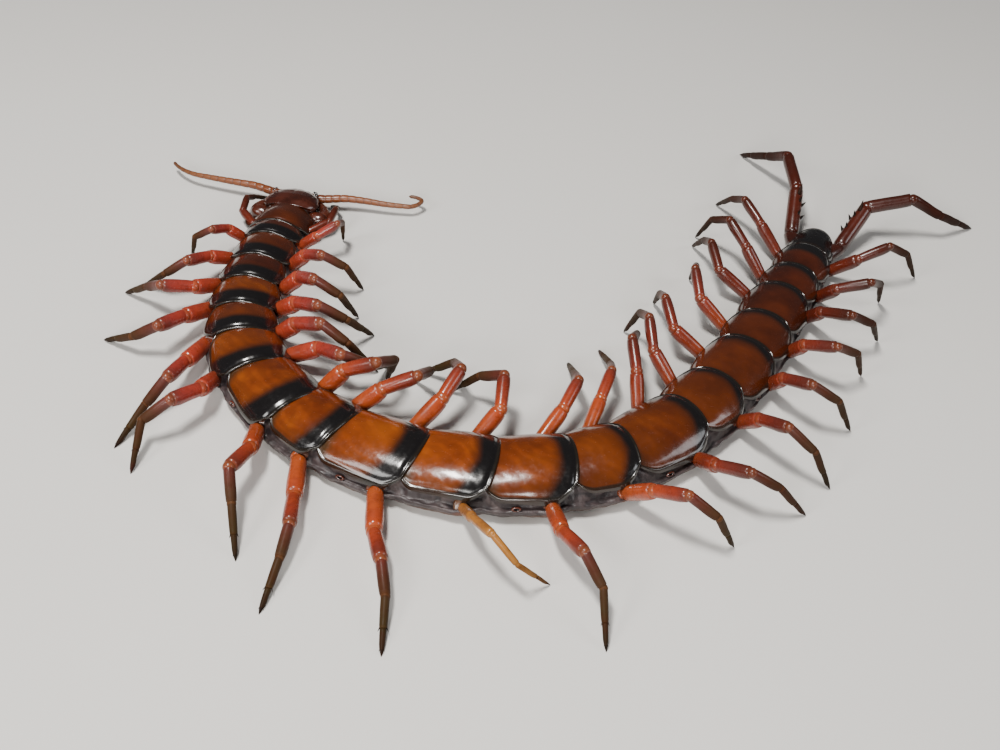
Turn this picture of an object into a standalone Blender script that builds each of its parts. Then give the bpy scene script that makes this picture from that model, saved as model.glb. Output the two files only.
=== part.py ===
"""A giant centipede as a still, life-size model: trunk in ten lengths, head, feelers, claws and 42 legs."""

import math

import bmesh
import bpy
from mathutils import Vector

MM = 0.001
GAP = 0.3 * MM  # the thin cut between neighbouring pieces

# The trunk, from the head's rear border to the tail end
BODY_WIDTH = 13.4 * MM  # the widest shell plate
WIDTH_PLACES = (0, 5, 11, 16, 19, 20, 21)  # counted in segments from the head
WIDTH_SHARES = (0.80, 0.92, 1.0, 0.93, 0.80, 0.74, 0.56)
SEGMENT_LENGTHS = (
    5.6, 4.0, 6.7, 6.4, 7.2, 6.7, 8.6, 10.9, 8.7, 12.1, 10.7,
    11.1, 8.7, 12.3, 9.2, 10.5, 8.6, 9.5, 7.2, 7.8, 7.2
)  # in millimetres
HEADINGS = (
    -98, -98, -97, -95, -91, -85, -73, -56, -41, -28, -15, 0,
    13, 30, 46, 54, 60, 63, 62, 63, 65, 66
)  # degrees from +X, at the segments' ends
SEGMENTS = len(SEGMENT_LENGTHS)
HEAD_BORDER = Vector((-52.47 * MM, 28.89 * MM, 0))  # sets the middle of the whole model over the origin
STEPS = 20  # points of the trunk's line in a segment
LENGTHS_OF_TRUNK = (
    (1, 3), (4, 5), (6, 7), (8, 9), (10, 11), (12, 13), (14, 15), (16, 17), (18, 19), (20, 21)
)  # first and last segment of each node

# Cross-sections, as shares of the width where they stand
CORE_OUTLINE = (
    (0.0, 0.022), (0.32, 0.022), (0.45, 0.07), (0.50, 0.16), (0.46, 0.27), (0.30, 0.42), (0.0, 0.465)
)
CORE_SWELL = ((0.0, 0.90), (0.55, 1.0), (1.0, 0.90))  # share of a segment's length, share of the width
NECK_SHARE = 0.65  # the first segment narrows to make room for the claws
PLATE_EDGE = 0.28  # height of a shell plate's side border
PLATE_CROWN = 0.23
PLATE_THICKNESS = 0.06  # at the side borders, and twice that under the crown
PLATE_STATIONS = (
    (-0.02, 0.84, -0.030), (0.16, 0.98, -0.008), (0.80, 1.0, 0.004), (1.0, 0.95, 0.014)
)  # share of a segment's length, share of the width, rise
CROWN_FLATNESS = 2.6  # how level a plate runs across before it falls to its sides
CROWN_SHOULDER = 0.6
PLATE_LAP = 0.05
PLATE_STEPS = 8
CORNER = 0.10  # how far a plate's corners are rounded back
BELLY_PLATE_WIDTH = 0.27
BELLY_PLATE_DEPTH = 0.07

# The legs
LEG_PLACE = 0.78  # share of a segment's length
LATE_LEG_PLACE = 0.92
LATE_LEGS = (4, 6, 8, 18, 20)  # roots drawn back towards the next segment
ROOT_SIDE = 0.60
ROOT_HEIGHT = 0.15
LAST_ROOT_SIDE = 0.51  # the tail legs leave the rear corners of the trunk
ROOT_CLEARANCE = 1.2  # least height of a root, in the leg's own radius
LAST_HIP_LENGTH = 0.45  # share of the last segment
PODOMERES = (6.0 * MM, 5.6 * MM, 5.1 * MM, 7.9 * MM)
LAST_PODOMERES = (9.9 * MM, 8.3 * MM, 7.5 * MM, 11.0 * MM)
FRONT_LEG_SHARES = {1: 0.60, 2: 0.72, 3: 0.88, 4: 0.95}  # the first pairs are smaller
DARK_LEGS_AFTER = 17
LEG_RADIUS = 1.28 * MM
LAST_LEG_RADIUS = 1.50 * MM
FOOT_RADIUS = 0.28 * MM
LEG_SIDES = 8
HIP_SIDES = 6
LEG_PROFILE = (
    (0, 0.0, 0.98), (0, 0.80, 1.12), (1, 0.0, 0.82), (1, 0.82, 0.88), (2, 0.0, 0.68),
    (2, 0.82, 0.64), (3, 0.0, 0.50), (3, 0.50, 0.42), (3, 0.86, 0.24)
)  # podomere, how far along it, share of the leg's radius
SHIN_FALL = math.radians(30)
TARSUS_START = 2.15 * MM

# How each leg stands, in degrees: swing of its root towards the tail, turns at its three joints, and lift
LEFT_POSES = (
    (-60, -25, -15, -25, 20), (75, -10, -60, -35, 60), (75, -15, -40, -35, 40), (75, -50, -60, 5, 35),
    (75, -20, -60, -25, 30), (75, -15, -25, 15, 20), (70, -45, -30, 60, 35), (60, -35, 30, 0, 30),
    (45, -10, -10, -5, 5), (30, 5, -5, -10, 5), (30, 5, 20, 60, 50), (0, 20, 5, -30, 35),
    (25, 5, 15, 35, 60), (-35, 45, 35, 10, 50), (-45, 30, 25, 20, 60), (-75, 55, 45, 20, 60),
    (-75, 65, 60, 20, 60), (-75, 60, 60, 30, 55), (-60, 75, 60, 10, 60), (-20, 55, 10, 10, 60),
    (75, -50, 5, 20, 30)
)
RIGHT_POSES = (
    (-60, -25, -15, -25, 20), (25, -55, -60, -20, 60), (50, -15, -40, -40, 60), (50, -5, -35, -60, 60),
    (60, -20, -35, -45, 50), (70, -25, -10, -30, 55), (60, 10, -50, -60, 40), (75, -20, -65, -65, 60),
    (70, -20, -60, -55, 50), (40, -30, -45, -45, 40), (60, -60, -60, -10, 45), (60, -25, -30, 0, 30),
    (60, -15, -15, -15, 25), (55, -20, 25, -15, 55), (5, 40, -5, -15, 60), (-20, 65, 10, 5, 50),
    (-5, 60, 20, -10, 55), (-10, 60, 5, 0, 45), (20, 10, 0, 10, 60), (35, 0, 10, 5, 45),
    (75, -15, -15, 0, 30)
)

# The head, measured forward from the trunk's front end
HEAD_SECTIONS = (
    (0.15, 4.2, 2.7, 4.7), (1.1, 4.95, 2.4, 5.2), (2.8, 5.15, 2.3, 5.2),
    (4.4, 4.65, 2.2, 4.8), (5.8, 3.4, 2.2, 4.2), (6.8, 1.5, 2.5, 3.6)
)  # forward, half width, bottom and top, in millimetres
HEAD_ROUNDNESS = 0.8
HEAD_SIDES = 16
CHIN_SECTIONS = ((0.2, 2.2, 0.3, 3.2), (1.6, 2.5, 0.3, 3.4), (3.0, 2.0, 0.5, 3.2), (3.9, 1.0, 0.9, 2.8))

CLAW_ROUTE = (
    (2.95, 1.6, 1.5, 1.0), (4.7, 0.5, 1.7, 1.35), (6.1, 0.6, 1.7, 1.4), (6.2, 2.0, 1.6, 1.2),
    (5.2, 4.3, 1.4, 0.95), (3.4, 6.0, 1.2, 0.65), (1.2, 6.9, 1.0, 0.27)
)  # side, forward, height and radius, in millimetres

FEELER_BASE = Vector((2.25, 7.35, 3.0)) * MM  # side, forward, up
FEELER_ARTICLES = 17
FEELER_RADIUS = 0.80 * MM
FEELER_TIP_RADIUS = 0.30 * MM
LEFT_FEELER = ((0, 92, -2), (5, 88, 1), (11, 80, -3), (17, 35, -5))
RIGHT_FEELER = (
    (0, 100, -3), (4, 84, -2), (8, 90, -3), (12, 80, -2), (14, 20, 3), (15, -60, 2), (17, -112, -2)
)  # articles from the base, degrees out from straight ahead, degrees of rise
LEFT_ARTICLE = 1.56 * MM
RIGHT_ARTICLE = 1.47 * MM

EYE_FORWARD = 4.7 * MM
EYE_ANGLE = math.radians(30)
EYE_PAD = (0.95 * MM, 0.68 * MM, 0.36 * MM)
OCELLUS_RADIUS = 0.27 * MM
OCELLI = ((-0.50, -0.20), (0.02, 0.32), (0.52, 0.10), (0.05, -0.34))

COLOURS = {
    "plate": ((0.24, 0.062, 0.010), 0.22),
    "leg": ((0.42, 0.055, 0.020), 0.28),
    "dark_leg": ((0.11, 0.018, 0.008), 0.28),
    "head": ((0.060, 0.012, 0.006), 0.25),
    "claw": ((0.085, 0.018, 0.010), 0.25),
    "feeler": ((0.30, 0.085, 0.018), 0.35),
    "eye": ((0.010, 0.009, 0.008), 0.12),
}


def clear_scene():
    for thing in list(bpy.data.objects):
        bpy.data.objects.remove(thing)


def collection_named(name):
    made = bpy.data.collections.new(name)
    bpy.context.scene.collection.children.link(made)
    return made


def material_named(name):
    found = bpy.data.materials.get(name)
    if found:
        return found
    made = bpy.data.materials.new(name)
    made.use_nodes = True
    shader = made.node_tree.nodes["Principled BSDF"]
    colour, roughness = COLOURS[name]
    shader.inputs["Base Color"].default_value = (*colour, 1.0)
    shader.inputs["Roughness"].default_value = roughness
    shader.inputs["Metallic"].default_value = 0.0
    return made


# The trunk's line


def trunk_line():
    """Points and headings down the trunk, STEPS to a segment."""
    points = [HEAD_BORDER.copy()]
    headings = [math.radians(HEADINGS[0])]
    for number, length in enumerate(SEGMENT_LENGTHS):
        first, last = HEADINGS[number], HEADINGS[number + 1]
        for step in range(STEPS):
            middle = math.radians(first + (last - first) * (step + 0.5) / STEPS)
            ahead = Vector((math.cos(middle), math.sin(middle), 0)) * length * MM / STEPS
            points.append(points[-1] + ahead)
            headings.append(math.radians(first + (last - first) * (step + 1) / STEPS))
    return points, headings


LINE, LINE_HEADINGS = trunk_line()


class Place:
    """A stand on the trunk's line, with directions along to the tail, to the animal's left, and up."""

    def __init__(self, position):
        steps = min(max(position * STEPS, 0), SEGMENTS * STEPS)
        index = min(int(steps), SEGMENTS * STEPS - 1)
        share = steps - index
        heading = LINE_HEADINGS[index] * (1 - share) + LINE_HEADINGS[index + 1] * share
        self.along = Vector((math.cos(heading), math.sin(heading), 0))
        self.left = Vector((math.sin(heading), -math.cos(heading), 0))
        self.up = Vector((0, 0, 1))
        self.origin = LINE[index].lerp(LINE[index + 1], share)

    def point(self, along, left, up):
        return self.origin + self.along * along + self.left * left + self.up * up


def width_at(position):
    """The shell's width at a place counted in segments from the head."""
    for index in range(len(WIDTH_PLACES) - 1):
        low, high = WIDTH_PLACES[index], WIDTH_PLACES[index + 1]
        if position <= high:
            share = max(position - low, 0) / (high - low)
            return BODY_WIDTH * (WIDTH_SHARES[index] * (1 - share) + WIDTH_SHARES[index + 1] * share)
    return BODY_WIDTH * WIDTH_SHARES[-1]


# Shapes


def loft(name, rings):
    """A closed skin through rings of like count, capped at both ends."""
    mesh = bmesh.new()
    made = [[mesh.verts.new(point) for point in ring] for ring in rings]
    count = len(rings[0])
    for ring, following in zip(made, made[1:]):
        for index in range(count):
            after = (index + 1) % count
            mesh.faces.new((ring[index], ring[after], following[after], following[index]))
    mesh.faces.new(made[0])
    mesh.faces.new(made[-1])
    bmesh.ops.triangulate(mesh, faces=mesh.faces[:])
    bmesh.ops.recalc_face_normals(mesh, faces=mesh.faces[:])
    return object_from(mesh, name)


def object_from(mesh, name):
    data = bpy.data.meshes.new(name)
    mesh.to_mesh(data)
    mesh.free()
    made = bpy.data.objects.new(name, data)
    bpy.context.scene.collection.objects.link(made)
    return made


def ring_about(centre, direction, radius, sides, up=Vector((0, 0, 1))):
    """A circle of points across a direction, the first one on its upper side."""
    direction = direction.normalized()
    top = (up - direction * up.dot(direction)).normalized()
    across = direction.cross(top)
    turns = [2 * math.pi * index / sides for index in range(sides)]
    return [centre + (top * math.cos(turn) + across * math.sin(turn)) * radius for turn in turns]


def tube(name, stops, sides):
    """A tapering round piece through stops of centre, direction and radius."""
    return loft(name, [ring_about(centre, direction, radius, sides) for centre, direction, radius in stops])


def keep_largest(thing):
    """Leaves only the largest closed surface of a mesh."""
    mesh = bmesh.new()
    mesh.from_mesh(thing.data)
    left = set(mesh.faces)
    islands = []
    while left:
        island = {left.pop()}
        edge = list(island)
        while edge:
            face = edge.pop()
            for side in face.edges:
                for other in side.link_faces:
                    if other in left:
                        left.remove(other)
                        island.add(other)
                        edge.append(other)
        islands.append(island)
    islands.sort(key=lambda island: sum(face.calc_area() for face in island))
    for island in islands[:-1]:
        bmesh.ops.delete(mesh, geom=list(island), context="FACES")
    loose = [vertex for vertex in mesh.verts if not vertex.link_faces]
    bmesh.ops.delete(mesh, geom=loose, context="VERTS")
    mesh.to_mesh(thing.data)
    mesh.free()


def fuse(thing, pieces):
    """Joins the pieces to a thing in one union and leaves one closed surface."""
    group = collection_named("joined")
    for piece in pieces:
        bpy.context.scene.collection.objects.unlink(piece)
        group.objects.link(piece)
    union = thing.modifiers.new("union", "BOOLEAN")
    union.operation = "UNION"
    union.solver = "MANIFOLD"
    union.operand_type = "COLLECTION"
    union.collection = group
    bpy.context.view_layer.update()
    shown = thing.evaluated_get(bpy.context.evaluated_depsgraph_get())
    joined = bpy.data.meshes.new_from_object(shown)
    thing.modifiers.clear()
    thing.data = joined
    for piece in pieces:
        bpy.data.objects.remove(piece)
    bpy.data.collections.remove(group)
    keep_largest(thing)
    return thing


def finish(thing, name, material, collection, smooth=True):
    """Names a piece, gives it its material and puts it in the model."""
    thing.name = name
    thing.data.name = name
    thing.data.materials.clear()
    thing.data.materials.append(material_named(material))
    for face in thing.data.polygons:
        face.use_smooth = smooth
    bpy.context.scene.collection.objects.unlink(thing)
    collection.objects.link(thing)


# The trunk


def signed_power(value, power):
    return math.copysign(abs(value) ** power, value)


def core_ring(position, shift, swell):
    place = Place(position)
    width = width_at(position)
    half = [(side * width * swell, height * width) for side, height in CORE_OUTLINE]
    outline = half + [(-side, height) for side, height in reversed(half[1:-1])]
    return [place.point(shift, side, height) for side, height in outline]


def core_of(first, last):
    """The soft trunk under the plates, from the first segment's front to the last one's end."""
    rings = []
    for number in range(first, last + 1):
        for share, swell in CORE_SWELL:
            if share == 1.0 and number < last:
                continue
            shift = 0.0
            if share == 0.0 and number == first:
                shift = GAP / 2
            if share == 1.0:
                shift = -GAP / 2
            if number == 1:
                swell *= NECK_SHARE + (1 - NECK_SHARE) * share
            rings.append(core_ring(number - 1 + share, shift, swell))
    return loft("core", rings)


def plate_ring(position, shift, corner, width_share, rise):
    """One cross-section of a shell plate, its corners set back along the trunk by a length."""
    place = Place(position)
    width = width_at(position)
    half = width * 0.5 * width_share
    outer = []
    inner = []
    for step in range(PLATE_STEPS + 1):
        side = math.sin(math.pi * (step / PLATE_STEPS - 0.5))
        crown = (1 - abs(side) ** CROWN_FLATNESS) ** CROWN_SHOULDER
        height = (PLATE_EDGE + PLATE_CROWN * crown + rise) * width
        depth = PLATE_THICKNESS * (1 + crown) * width
        along = shift + corner * side**4
        outer.append(place.point(along, half * side, height))
        inner.append(place.point(along, (half - PLATE_THICKNESS * width) * side, height - depth))
    return outer + inner[::-2]


def plate_of(number, first, last):
    """A segment's raised shell plate, lapping over the next one inside a length of trunk."""
    rings = []
    for share, width_share, rise in PLATE_STATIONS:
        shift = 0.0
        corner = 0.0
        if share < 0:
            corner = CORNER * BODY_WIDTH
            if number == first:
                shift = GAP / 2
                share = 0.0
        if share == 1.0:
            corner = -CORNER * BODY_WIDTH
            shift = -GAP / 2 if number == last else PLATE_LAP * BODY_WIDTH
        rings.append(plate_ring(number - 1 + share, shift, corner, width_share, rise))
    return loft("plate", rings)


def belly_plate_of(number):
    """The flat plate under a segment, which lies on the floor."""
    half_outline = [(0.10, 0.8), (0.22, 1.0), (0.80, 1.0), (0.92, 0.8)]
    outline = half_outline + [(share, -side) for share, side in reversed(half_outline)]
    rings = []
    for height, inset in ((0.0, 0.03), (BELLY_PLATE_DEPTH, 0.0)):
        points = []
        for share, side in outline:
            position = number - 1 + share
            width = width_at(position)
            left = side * (BELLY_PLATE_WIDTH - inset) * width
            points.append(Place(position).point(0, left, height * width))
        rings.append(points)
    return loft("belly", rings)


def hip_of(number, side):
    """The swelling that carries a leg, ending face to face with it."""
    place = Place(leg_place(number) - (LAST_HIP_LENGTH if number == SEGMENTS else 0))
    width = width_at(number - 0.5)
    joints, _ = leg_joints(number, side)
    direction = (joints[1] - joints[0]).normalized()
    outward = direction if number == SEGMENTS else place.left * side
    radius = leg_radius(number) * LEG_PROFILE[0][2]
    inside = place.point(0, side * 0.30 * width, 0.19 * width)
    end = joints[0] - direction * GAP / 2
    before = joints[0].lerp(inside, 0.30)
    stops = [
        (inside, outward, radius * 1.1),
        (before, outward + direction * 0.5, radius * 1.12),
        (end, direction, radius),
    ]
    return tube("hip", stops, HIP_SIDES)


def build_trunk(collection):
    for first, last in LENGTHS_OF_TRUNK:
        core = core_of(first, last)
        pieces = []
        for number in range(first, last + 1):
            pieces.append(plate_of(number, first, last))
            pieces.append(belly_plate_of(number))
            pieces.append(hip_of(number, 1))
            pieces.append(hip_of(number, -1))
        finish(fuse(core, pieces), f"trunk_{first:02d}_{last:02d}", "plate", collection, smooth=False)


# The legs


def leg_place(number):
    """Where a leg's root stands on the trunk's line, counted in segments from the head."""
    if number == SEGMENTS:
        return float(SEGMENTS)
    return number - 1 + (LATE_LEG_PLACE if number in LATE_LEGS else LEG_PLACE)


def leg_radius(number):
    if number == SEGMENTS:
        return LAST_LEG_RADIUS
    return LEG_RADIUS * FRONT_LEG_SHARES.get(number, 1.0)


def leg_joints(number, side):
    """The root, the three joints and the tip on the floor, with the direction of each podomere."""
    place = Place(leg_place(number))
    width = width_at(number - 0.5)
    outward = place.left * side
    swing, knee, shin, foot, lift = (LEFT_POSES if side > 0 else RIGHT_POSES)[number - 1]
    share = FRONT_LEG_SHARES.get(number, 1.0)
    lengths = [length * share for length in (LAST_PODOMERES if number == SEGMENTS else PODOMERES)]
    turns = [swing, swing + knee, swing + knee + shin, swing + knee + shin + foot]
    rises = [math.radians(lift), math.radians(5 + 0.35 * lift)]
    root_side = LAST_ROOT_SIDE if number == SEGMENTS else ROOT_SIDE
    root_height = max(ROOT_HEIGHT * width, ROOT_CLEARANCE * leg_radius(number))
    joints = [place.point(0, side * root_side * width, root_height)]
    directions = []
    for index, (length, turn) in enumerate(zip(lengths, turns)):
        here = joints[-1]
        if index < 2:
            rise = rises[index]
        else:
            lowest = TARSUS_START if index == 2 else 0.0
            fall = length * math.sin(SHIN_FALL) if index == 2 else here.z
            drop = here.z - max(here.z - fall, lowest)
            rise = -math.asin(min(max(drop / length, -0.95), 0.95))
        flat = outward * math.cos(math.radians(turn)) + place.along * math.sin(math.radians(turn))
        directions.append(flat * math.cos(rise) + place.up * math.sin(rise))
        joints.append(here + directions[-1] * length)
    joints[-1].z = 0.0
    return joints, directions


def leg_stops(number, side):
    joints, directions = leg_joints(number, side)
    radius = leg_radius(number)
    stops = []
    for podomere, share, scale in LEG_PROFILE:
        direction = directions[podomere]
        if share == 0.0 and podomere:
            direction = directions[podomere - 1] + direction
        centre = joints[podomere].lerp(joints[podomere + 1], share)
        if share == 0.0 and podomere == 0:
            centre = centre + direction * GAP / 2
        stops.append((centre, direction, radius * scale))
    return stops, joints[-1], directions[-1]


def foot_ring(tip, direction):
    """The small flat on the floor under a leg's tip."""
    ahead = Vector((direction.x, direction.y, 0)).normalized()
    across = Vector((0, 0, -1)).cross(ahead)
    turns = [2 * math.pi * index / LEG_SIDES for index in range(LEG_SIDES)]
    return [tip + (ahead * math.cos(turn) + across * math.sin(turn)) * FOOT_RADIUS for turn in turns]


def spine_on(centre, direction, length, radius):
    """A short spine with its root sunk into what it stands on."""
    stops = [
        (centre - direction * radius * 1.5, direction, radius),
        (centre + direction * length * 0.5, direction, radius * 0.75),
        (centre + direction * length, direction, radius * 0.3),
    ]
    return tube("spine", stops, 5)


def build_leg(number, side, collection):
    stops, tip, last_direction = leg_stops(number, side)
    rings = [ring_about(centre, direction, radius, LEG_SIDES) for centre, direction, radius in stops]
    rings.append(foot_ring(tip, last_direction))
    leg = loft("leg", rings)
    if number == SEGMENTS:
        leg = fuse(leg, last_leg_spines(number, side))
    name = f"leg_{'left' if side > 0 else 'right'}_{number:02d}"
    finish(leg, name, "dark_leg" if number > DARK_LEGS_AFTER else "leg", collection)


def last_leg_spines(number, side):
    """The spines on the thigh of a tail leg, one long at its end and four short on its inner side."""
    joints, directions = leg_joints(number, side)
    thigh = directions[0]
    place = Place(leg_place(number))
    inner = place.left * -side
    inward = (inner - thigh * inner.dot(thigh)).normalized()
    upward = thigh.cross(inward)
    if upward.z < 0:
        upward = -upward
    radius = leg_radius(number)
    spines = []
    for share, tilt in ((0.35, 0.2), (0.62, 0.2), (0.40, 0.9), (0.68, 0.9)):
        out = (inward * math.cos(tilt) + upward * math.sin(tilt)).normalized()
        root = joints[0].lerp(joints[1], share) + out * radius * 0.9
        spines.append(spine_on(root, (out + thigh * 0.9).normalized(), 1.1 * MM, 0.36 * MM))
    out = (inward * 0.5 + upward).normalized()
    root = joints[0].lerp(joints[1], 0.82) + out * radius * 0.85
    spines.append(spine_on(root, (out * 0.6 + thigh).normalized(), 2.0 * MM, 0.42 * MM))
    return spines


# The head and what it carries


def head_point(forward, left, up):
    return Place(0).point(-forward, left, up)


def rounded_ring(section, sides):
    forward, half, bottom, top = section
    points = []
    for index in range(sides):
        turn = 2 * math.pi * index / sides
        left = half * signed_power(math.cos(turn), HEAD_ROUNDNESS)
        up = (top + bottom) / 2 + (top - bottom) / 2 * signed_power(math.sin(turn), HEAD_ROUNDNESS)
        points.append(head_point(forward * MM, left * MM, up * MM))
    return points


def build_head(collection):
    shield = loft("head", [rounded_ring(section, HEAD_SIDES) for section in HEAD_SECTIONS])
    chin = loft("chin", [rounded_ring(section, 10) for section in CHIN_SECTIONS])
    finish(fuse(shield, [chin]), "head", "head", collection)


def build_claw(side, collection):
    """A poison claw, curving forward from beside the neck to under the front of the head."""
    centres = [head_point(ahead * MM, side * across * MM, up * MM) for across, ahead, up, _ in CLAW_ROUTE]
    stops = []
    for index, (_, _, _, radius) in enumerate(CLAW_ROUTE):
        before = centres[max(index - 1, 0)]
        after = centres[min(index + 1, len(centres) - 1)]
        stops.append((centres[index], after - before, radius * MM))
    name = "forcipule_left" if side > 0 else "forcipule_right"
    finish(tube("claw", stops, 10), name, "claw", collection)


def value_along(table, place, column):
    for low, high in zip(table, table[1:]):
        if place <= high[0]:
            share = (place - low[0]) / (high[0] - low[0])
            return low[column] * (1 - share) + high[column] * share
    return table[-1][column]


def feeler_stops(side):
    """Centre, direction and radius at the end of each article of a feeler."""
    table, article = (LEFT_FEELER, LEFT_ARTICLE) if side > 0 else (RIGHT_FEELER, RIGHT_ARTICLE)
    place = Place(0)
    here = head_point(FEELER_BASE.y, side * FEELER_BASE.x, FEELER_BASE.z)
    stops = []
    for number in range(FEELER_ARTICLES + 1):
        turn = math.radians(value_along(table, number, 1))
        rise = math.radians(value_along(table, number, 2))
        flat = place.along * -math.cos(turn) + place.left * side * math.sin(turn)
        direction = flat * math.cos(rise) + place.up * math.sin(rise)
        share = number / FEELER_ARTICLES
        stops.append((here.copy(), direction, FEELER_RADIUS * (1 - share) + FEELER_TIP_RADIUS * share))
        here += direction * article
    return stops


def build_feeler(side, collection):
    name = "antenna_left" if side > 0 else "antenna_right"
    finish(tube("feeler", feeler_stops(side), 6), name, "feeler", collection)


def eye_frame(side):
    """The spot on the side of the head that carries an eye, with its outward direction."""
    for low, high in zip(HEAD_SECTIONS, HEAD_SECTIONS[1:]):
        if low[0] * MM <= EYE_FORWARD <= high[0] * MM:
            share = (EYE_FORWARD / MM - low[0]) / (high[0] - low[0])
            _, half, bottom, top = (a * (1 - share) + b * share for a, b in zip(low, high))
    left = half * signed_power(math.cos(EYE_ANGLE), HEAD_ROUNDNESS)
    up = (top + bottom) / 2 + (top - bottom) / 2 * signed_power(math.sin(EYE_ANGLE), HEAD_ROUNDNESS)
    place = Place(0)
    outward = (place.left * side * 0.62 + place.up * 0.72 - place.along * 0.30).normalized()
    spot = head_point(EYE_FORWARD, side * left * MM, up * MM)
    ahead = (-place.along - outward * -place.along.dot(outward)).normalized()
    return spot + outward * (GAP + EYE_PAD[2] * 0.5), outward, ahead, outward.cross(ahead)


def dome(centre, axes, sizes, rings, segments):
    """An egg-shaped closed piece with its own three directions and half sizes."""
    mesh = bmesh.new()
    bmesh.ops.create_uvsphere(mesh, u_segments=segments, v_segments=rings, radius=1.0)
    for vertex in mesh.verts:
        spot = centre.copy()
        for axis, size, part in zip(axes, sizes, vertex.co):
            spot += axis * size * part
        vertex.co = spot
    return object_from(mesh, "dome")


def build_eye(side, collection):
    """Four small eyes on one low mound."""
    centre, outward, ahead, across = eye_frame(side)
    pad = dome(centre, (ahead, across, outward), EYE_PAD, rings=4, segments=10)
    spots = []
    for forward, aside in OCELLI:
        spot = centre + ahead * forward * EYE_PAD[0] + across * aside * side * EYE_PAD[1]
        spot += outward * EYE_PAD[2] * 0.7
        spots.append(dome(spot, (ahead, across, outward), (OCELLUS_RADIUS,) * 3, rings=4, segments=6))
    finish(fuse(pad, spots), "eye_left" if side > 0 else "eye_right", "eye", collection)


def build():
    clear_scene()
    collection = collection_named("giant_centipede")
    build_trunk(collection)
    build_head(collection)
    for side in (1, -1):
        build_claw(side, collection)
        build_feeler(side, collection)
        build_eye(side, collection)
        for number in range(1, SEGMENTS + 1):
            build_leg(number, side, collection)


build()
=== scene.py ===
"""Looks of the giant centipede: shell plates over wrinkled skin, jointed legs, feelers, claws and head."""

import math

import bpy
import numpy as np
from mathutils import Matrix, Vector, noise


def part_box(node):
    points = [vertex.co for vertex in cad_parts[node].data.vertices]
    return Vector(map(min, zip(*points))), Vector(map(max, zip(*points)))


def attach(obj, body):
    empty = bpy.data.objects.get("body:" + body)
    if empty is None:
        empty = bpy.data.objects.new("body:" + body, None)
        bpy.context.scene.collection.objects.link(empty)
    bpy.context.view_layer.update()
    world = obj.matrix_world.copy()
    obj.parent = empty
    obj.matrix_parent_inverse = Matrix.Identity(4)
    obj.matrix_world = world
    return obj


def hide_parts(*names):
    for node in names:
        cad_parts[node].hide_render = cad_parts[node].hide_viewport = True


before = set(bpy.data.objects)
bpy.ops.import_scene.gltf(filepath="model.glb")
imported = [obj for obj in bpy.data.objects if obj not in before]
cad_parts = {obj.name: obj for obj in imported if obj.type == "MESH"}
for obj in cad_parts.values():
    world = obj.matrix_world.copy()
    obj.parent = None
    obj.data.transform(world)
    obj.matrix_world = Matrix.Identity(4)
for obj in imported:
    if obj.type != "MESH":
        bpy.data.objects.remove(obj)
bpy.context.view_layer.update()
MM = 0.001

# The driving sizes of the solids, and how much leaner than the solids the rear legs are
BODY_WIDTH = 13.4 * MM
WIDTH_PLACES = (0, 5, 11, 16, 19, 20, 21)
WIDTH_SHARES = (0.80, 0.92, 1.0, 0.93, 0.80, 0.74, 0.56)
SEGMENT_LENGTHS = (
    5.6, 4.0, 6.7, 6.4, 7.2, 6.7, 8.6, 10.9, 8.7, 12.1, 10.7,
    11.1, 8.7, 12.3, 9.2, 10.5, 8.6, 9.5, 7.2, 7.8, 7.2
)
HEADINGS = (-98, -98, -97, -95, -91, -85, -73, -56, -41, -28, -15, 0, 13, 30, 46, 54, 60, 63, 62, 63, 65, 66)
SEGMENTS = len(SEGMENT_LENGTHS)
HEAD_BORDER = Vector((-52.47 * MM, 28.89 * MM, 0))
STEPS = 20
LENGTHS_OF_TRUNK = ((1, 3), *((first, first + 1) for first in range(4, SEGMENTS, 2)))

LEG_PLACE = 0.78
LATE_LEG_PLACE = 0.92
LATE_LEGS = (4, 6, 8, 18, 20)
ROOT_SIDE = 0.60
ROOT_HEIGHT = 0.15
LAST_ROOT_SIDE = 0.51
ROOT_CLEARANCE = 1.2
LAST_HIP_LENGTH = 0.45
PODOMERES = (6.0 * MM, 5.6 * MM, 5.1 * MM, 7.9 * MM)
LAST_PODOMERES = (9.9 * MM, 8.3 * MM, 7.5 * MM, 11.0 * MM)
FRONT_LEG_SHARES = {1: 0.60, 2: 0.72, 3: 0.88, 4: 0.95}
LEG_RADIUS = 1.42 * MM
LEANNESS = ((10, 13, 20), (1.0, 0.86, 0.80))
LAST_LEG_RADIUS = 1.50 * MM
SHIN_FALL = math.radians(30)
TARSUS_START = 2.15 * MM
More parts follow.
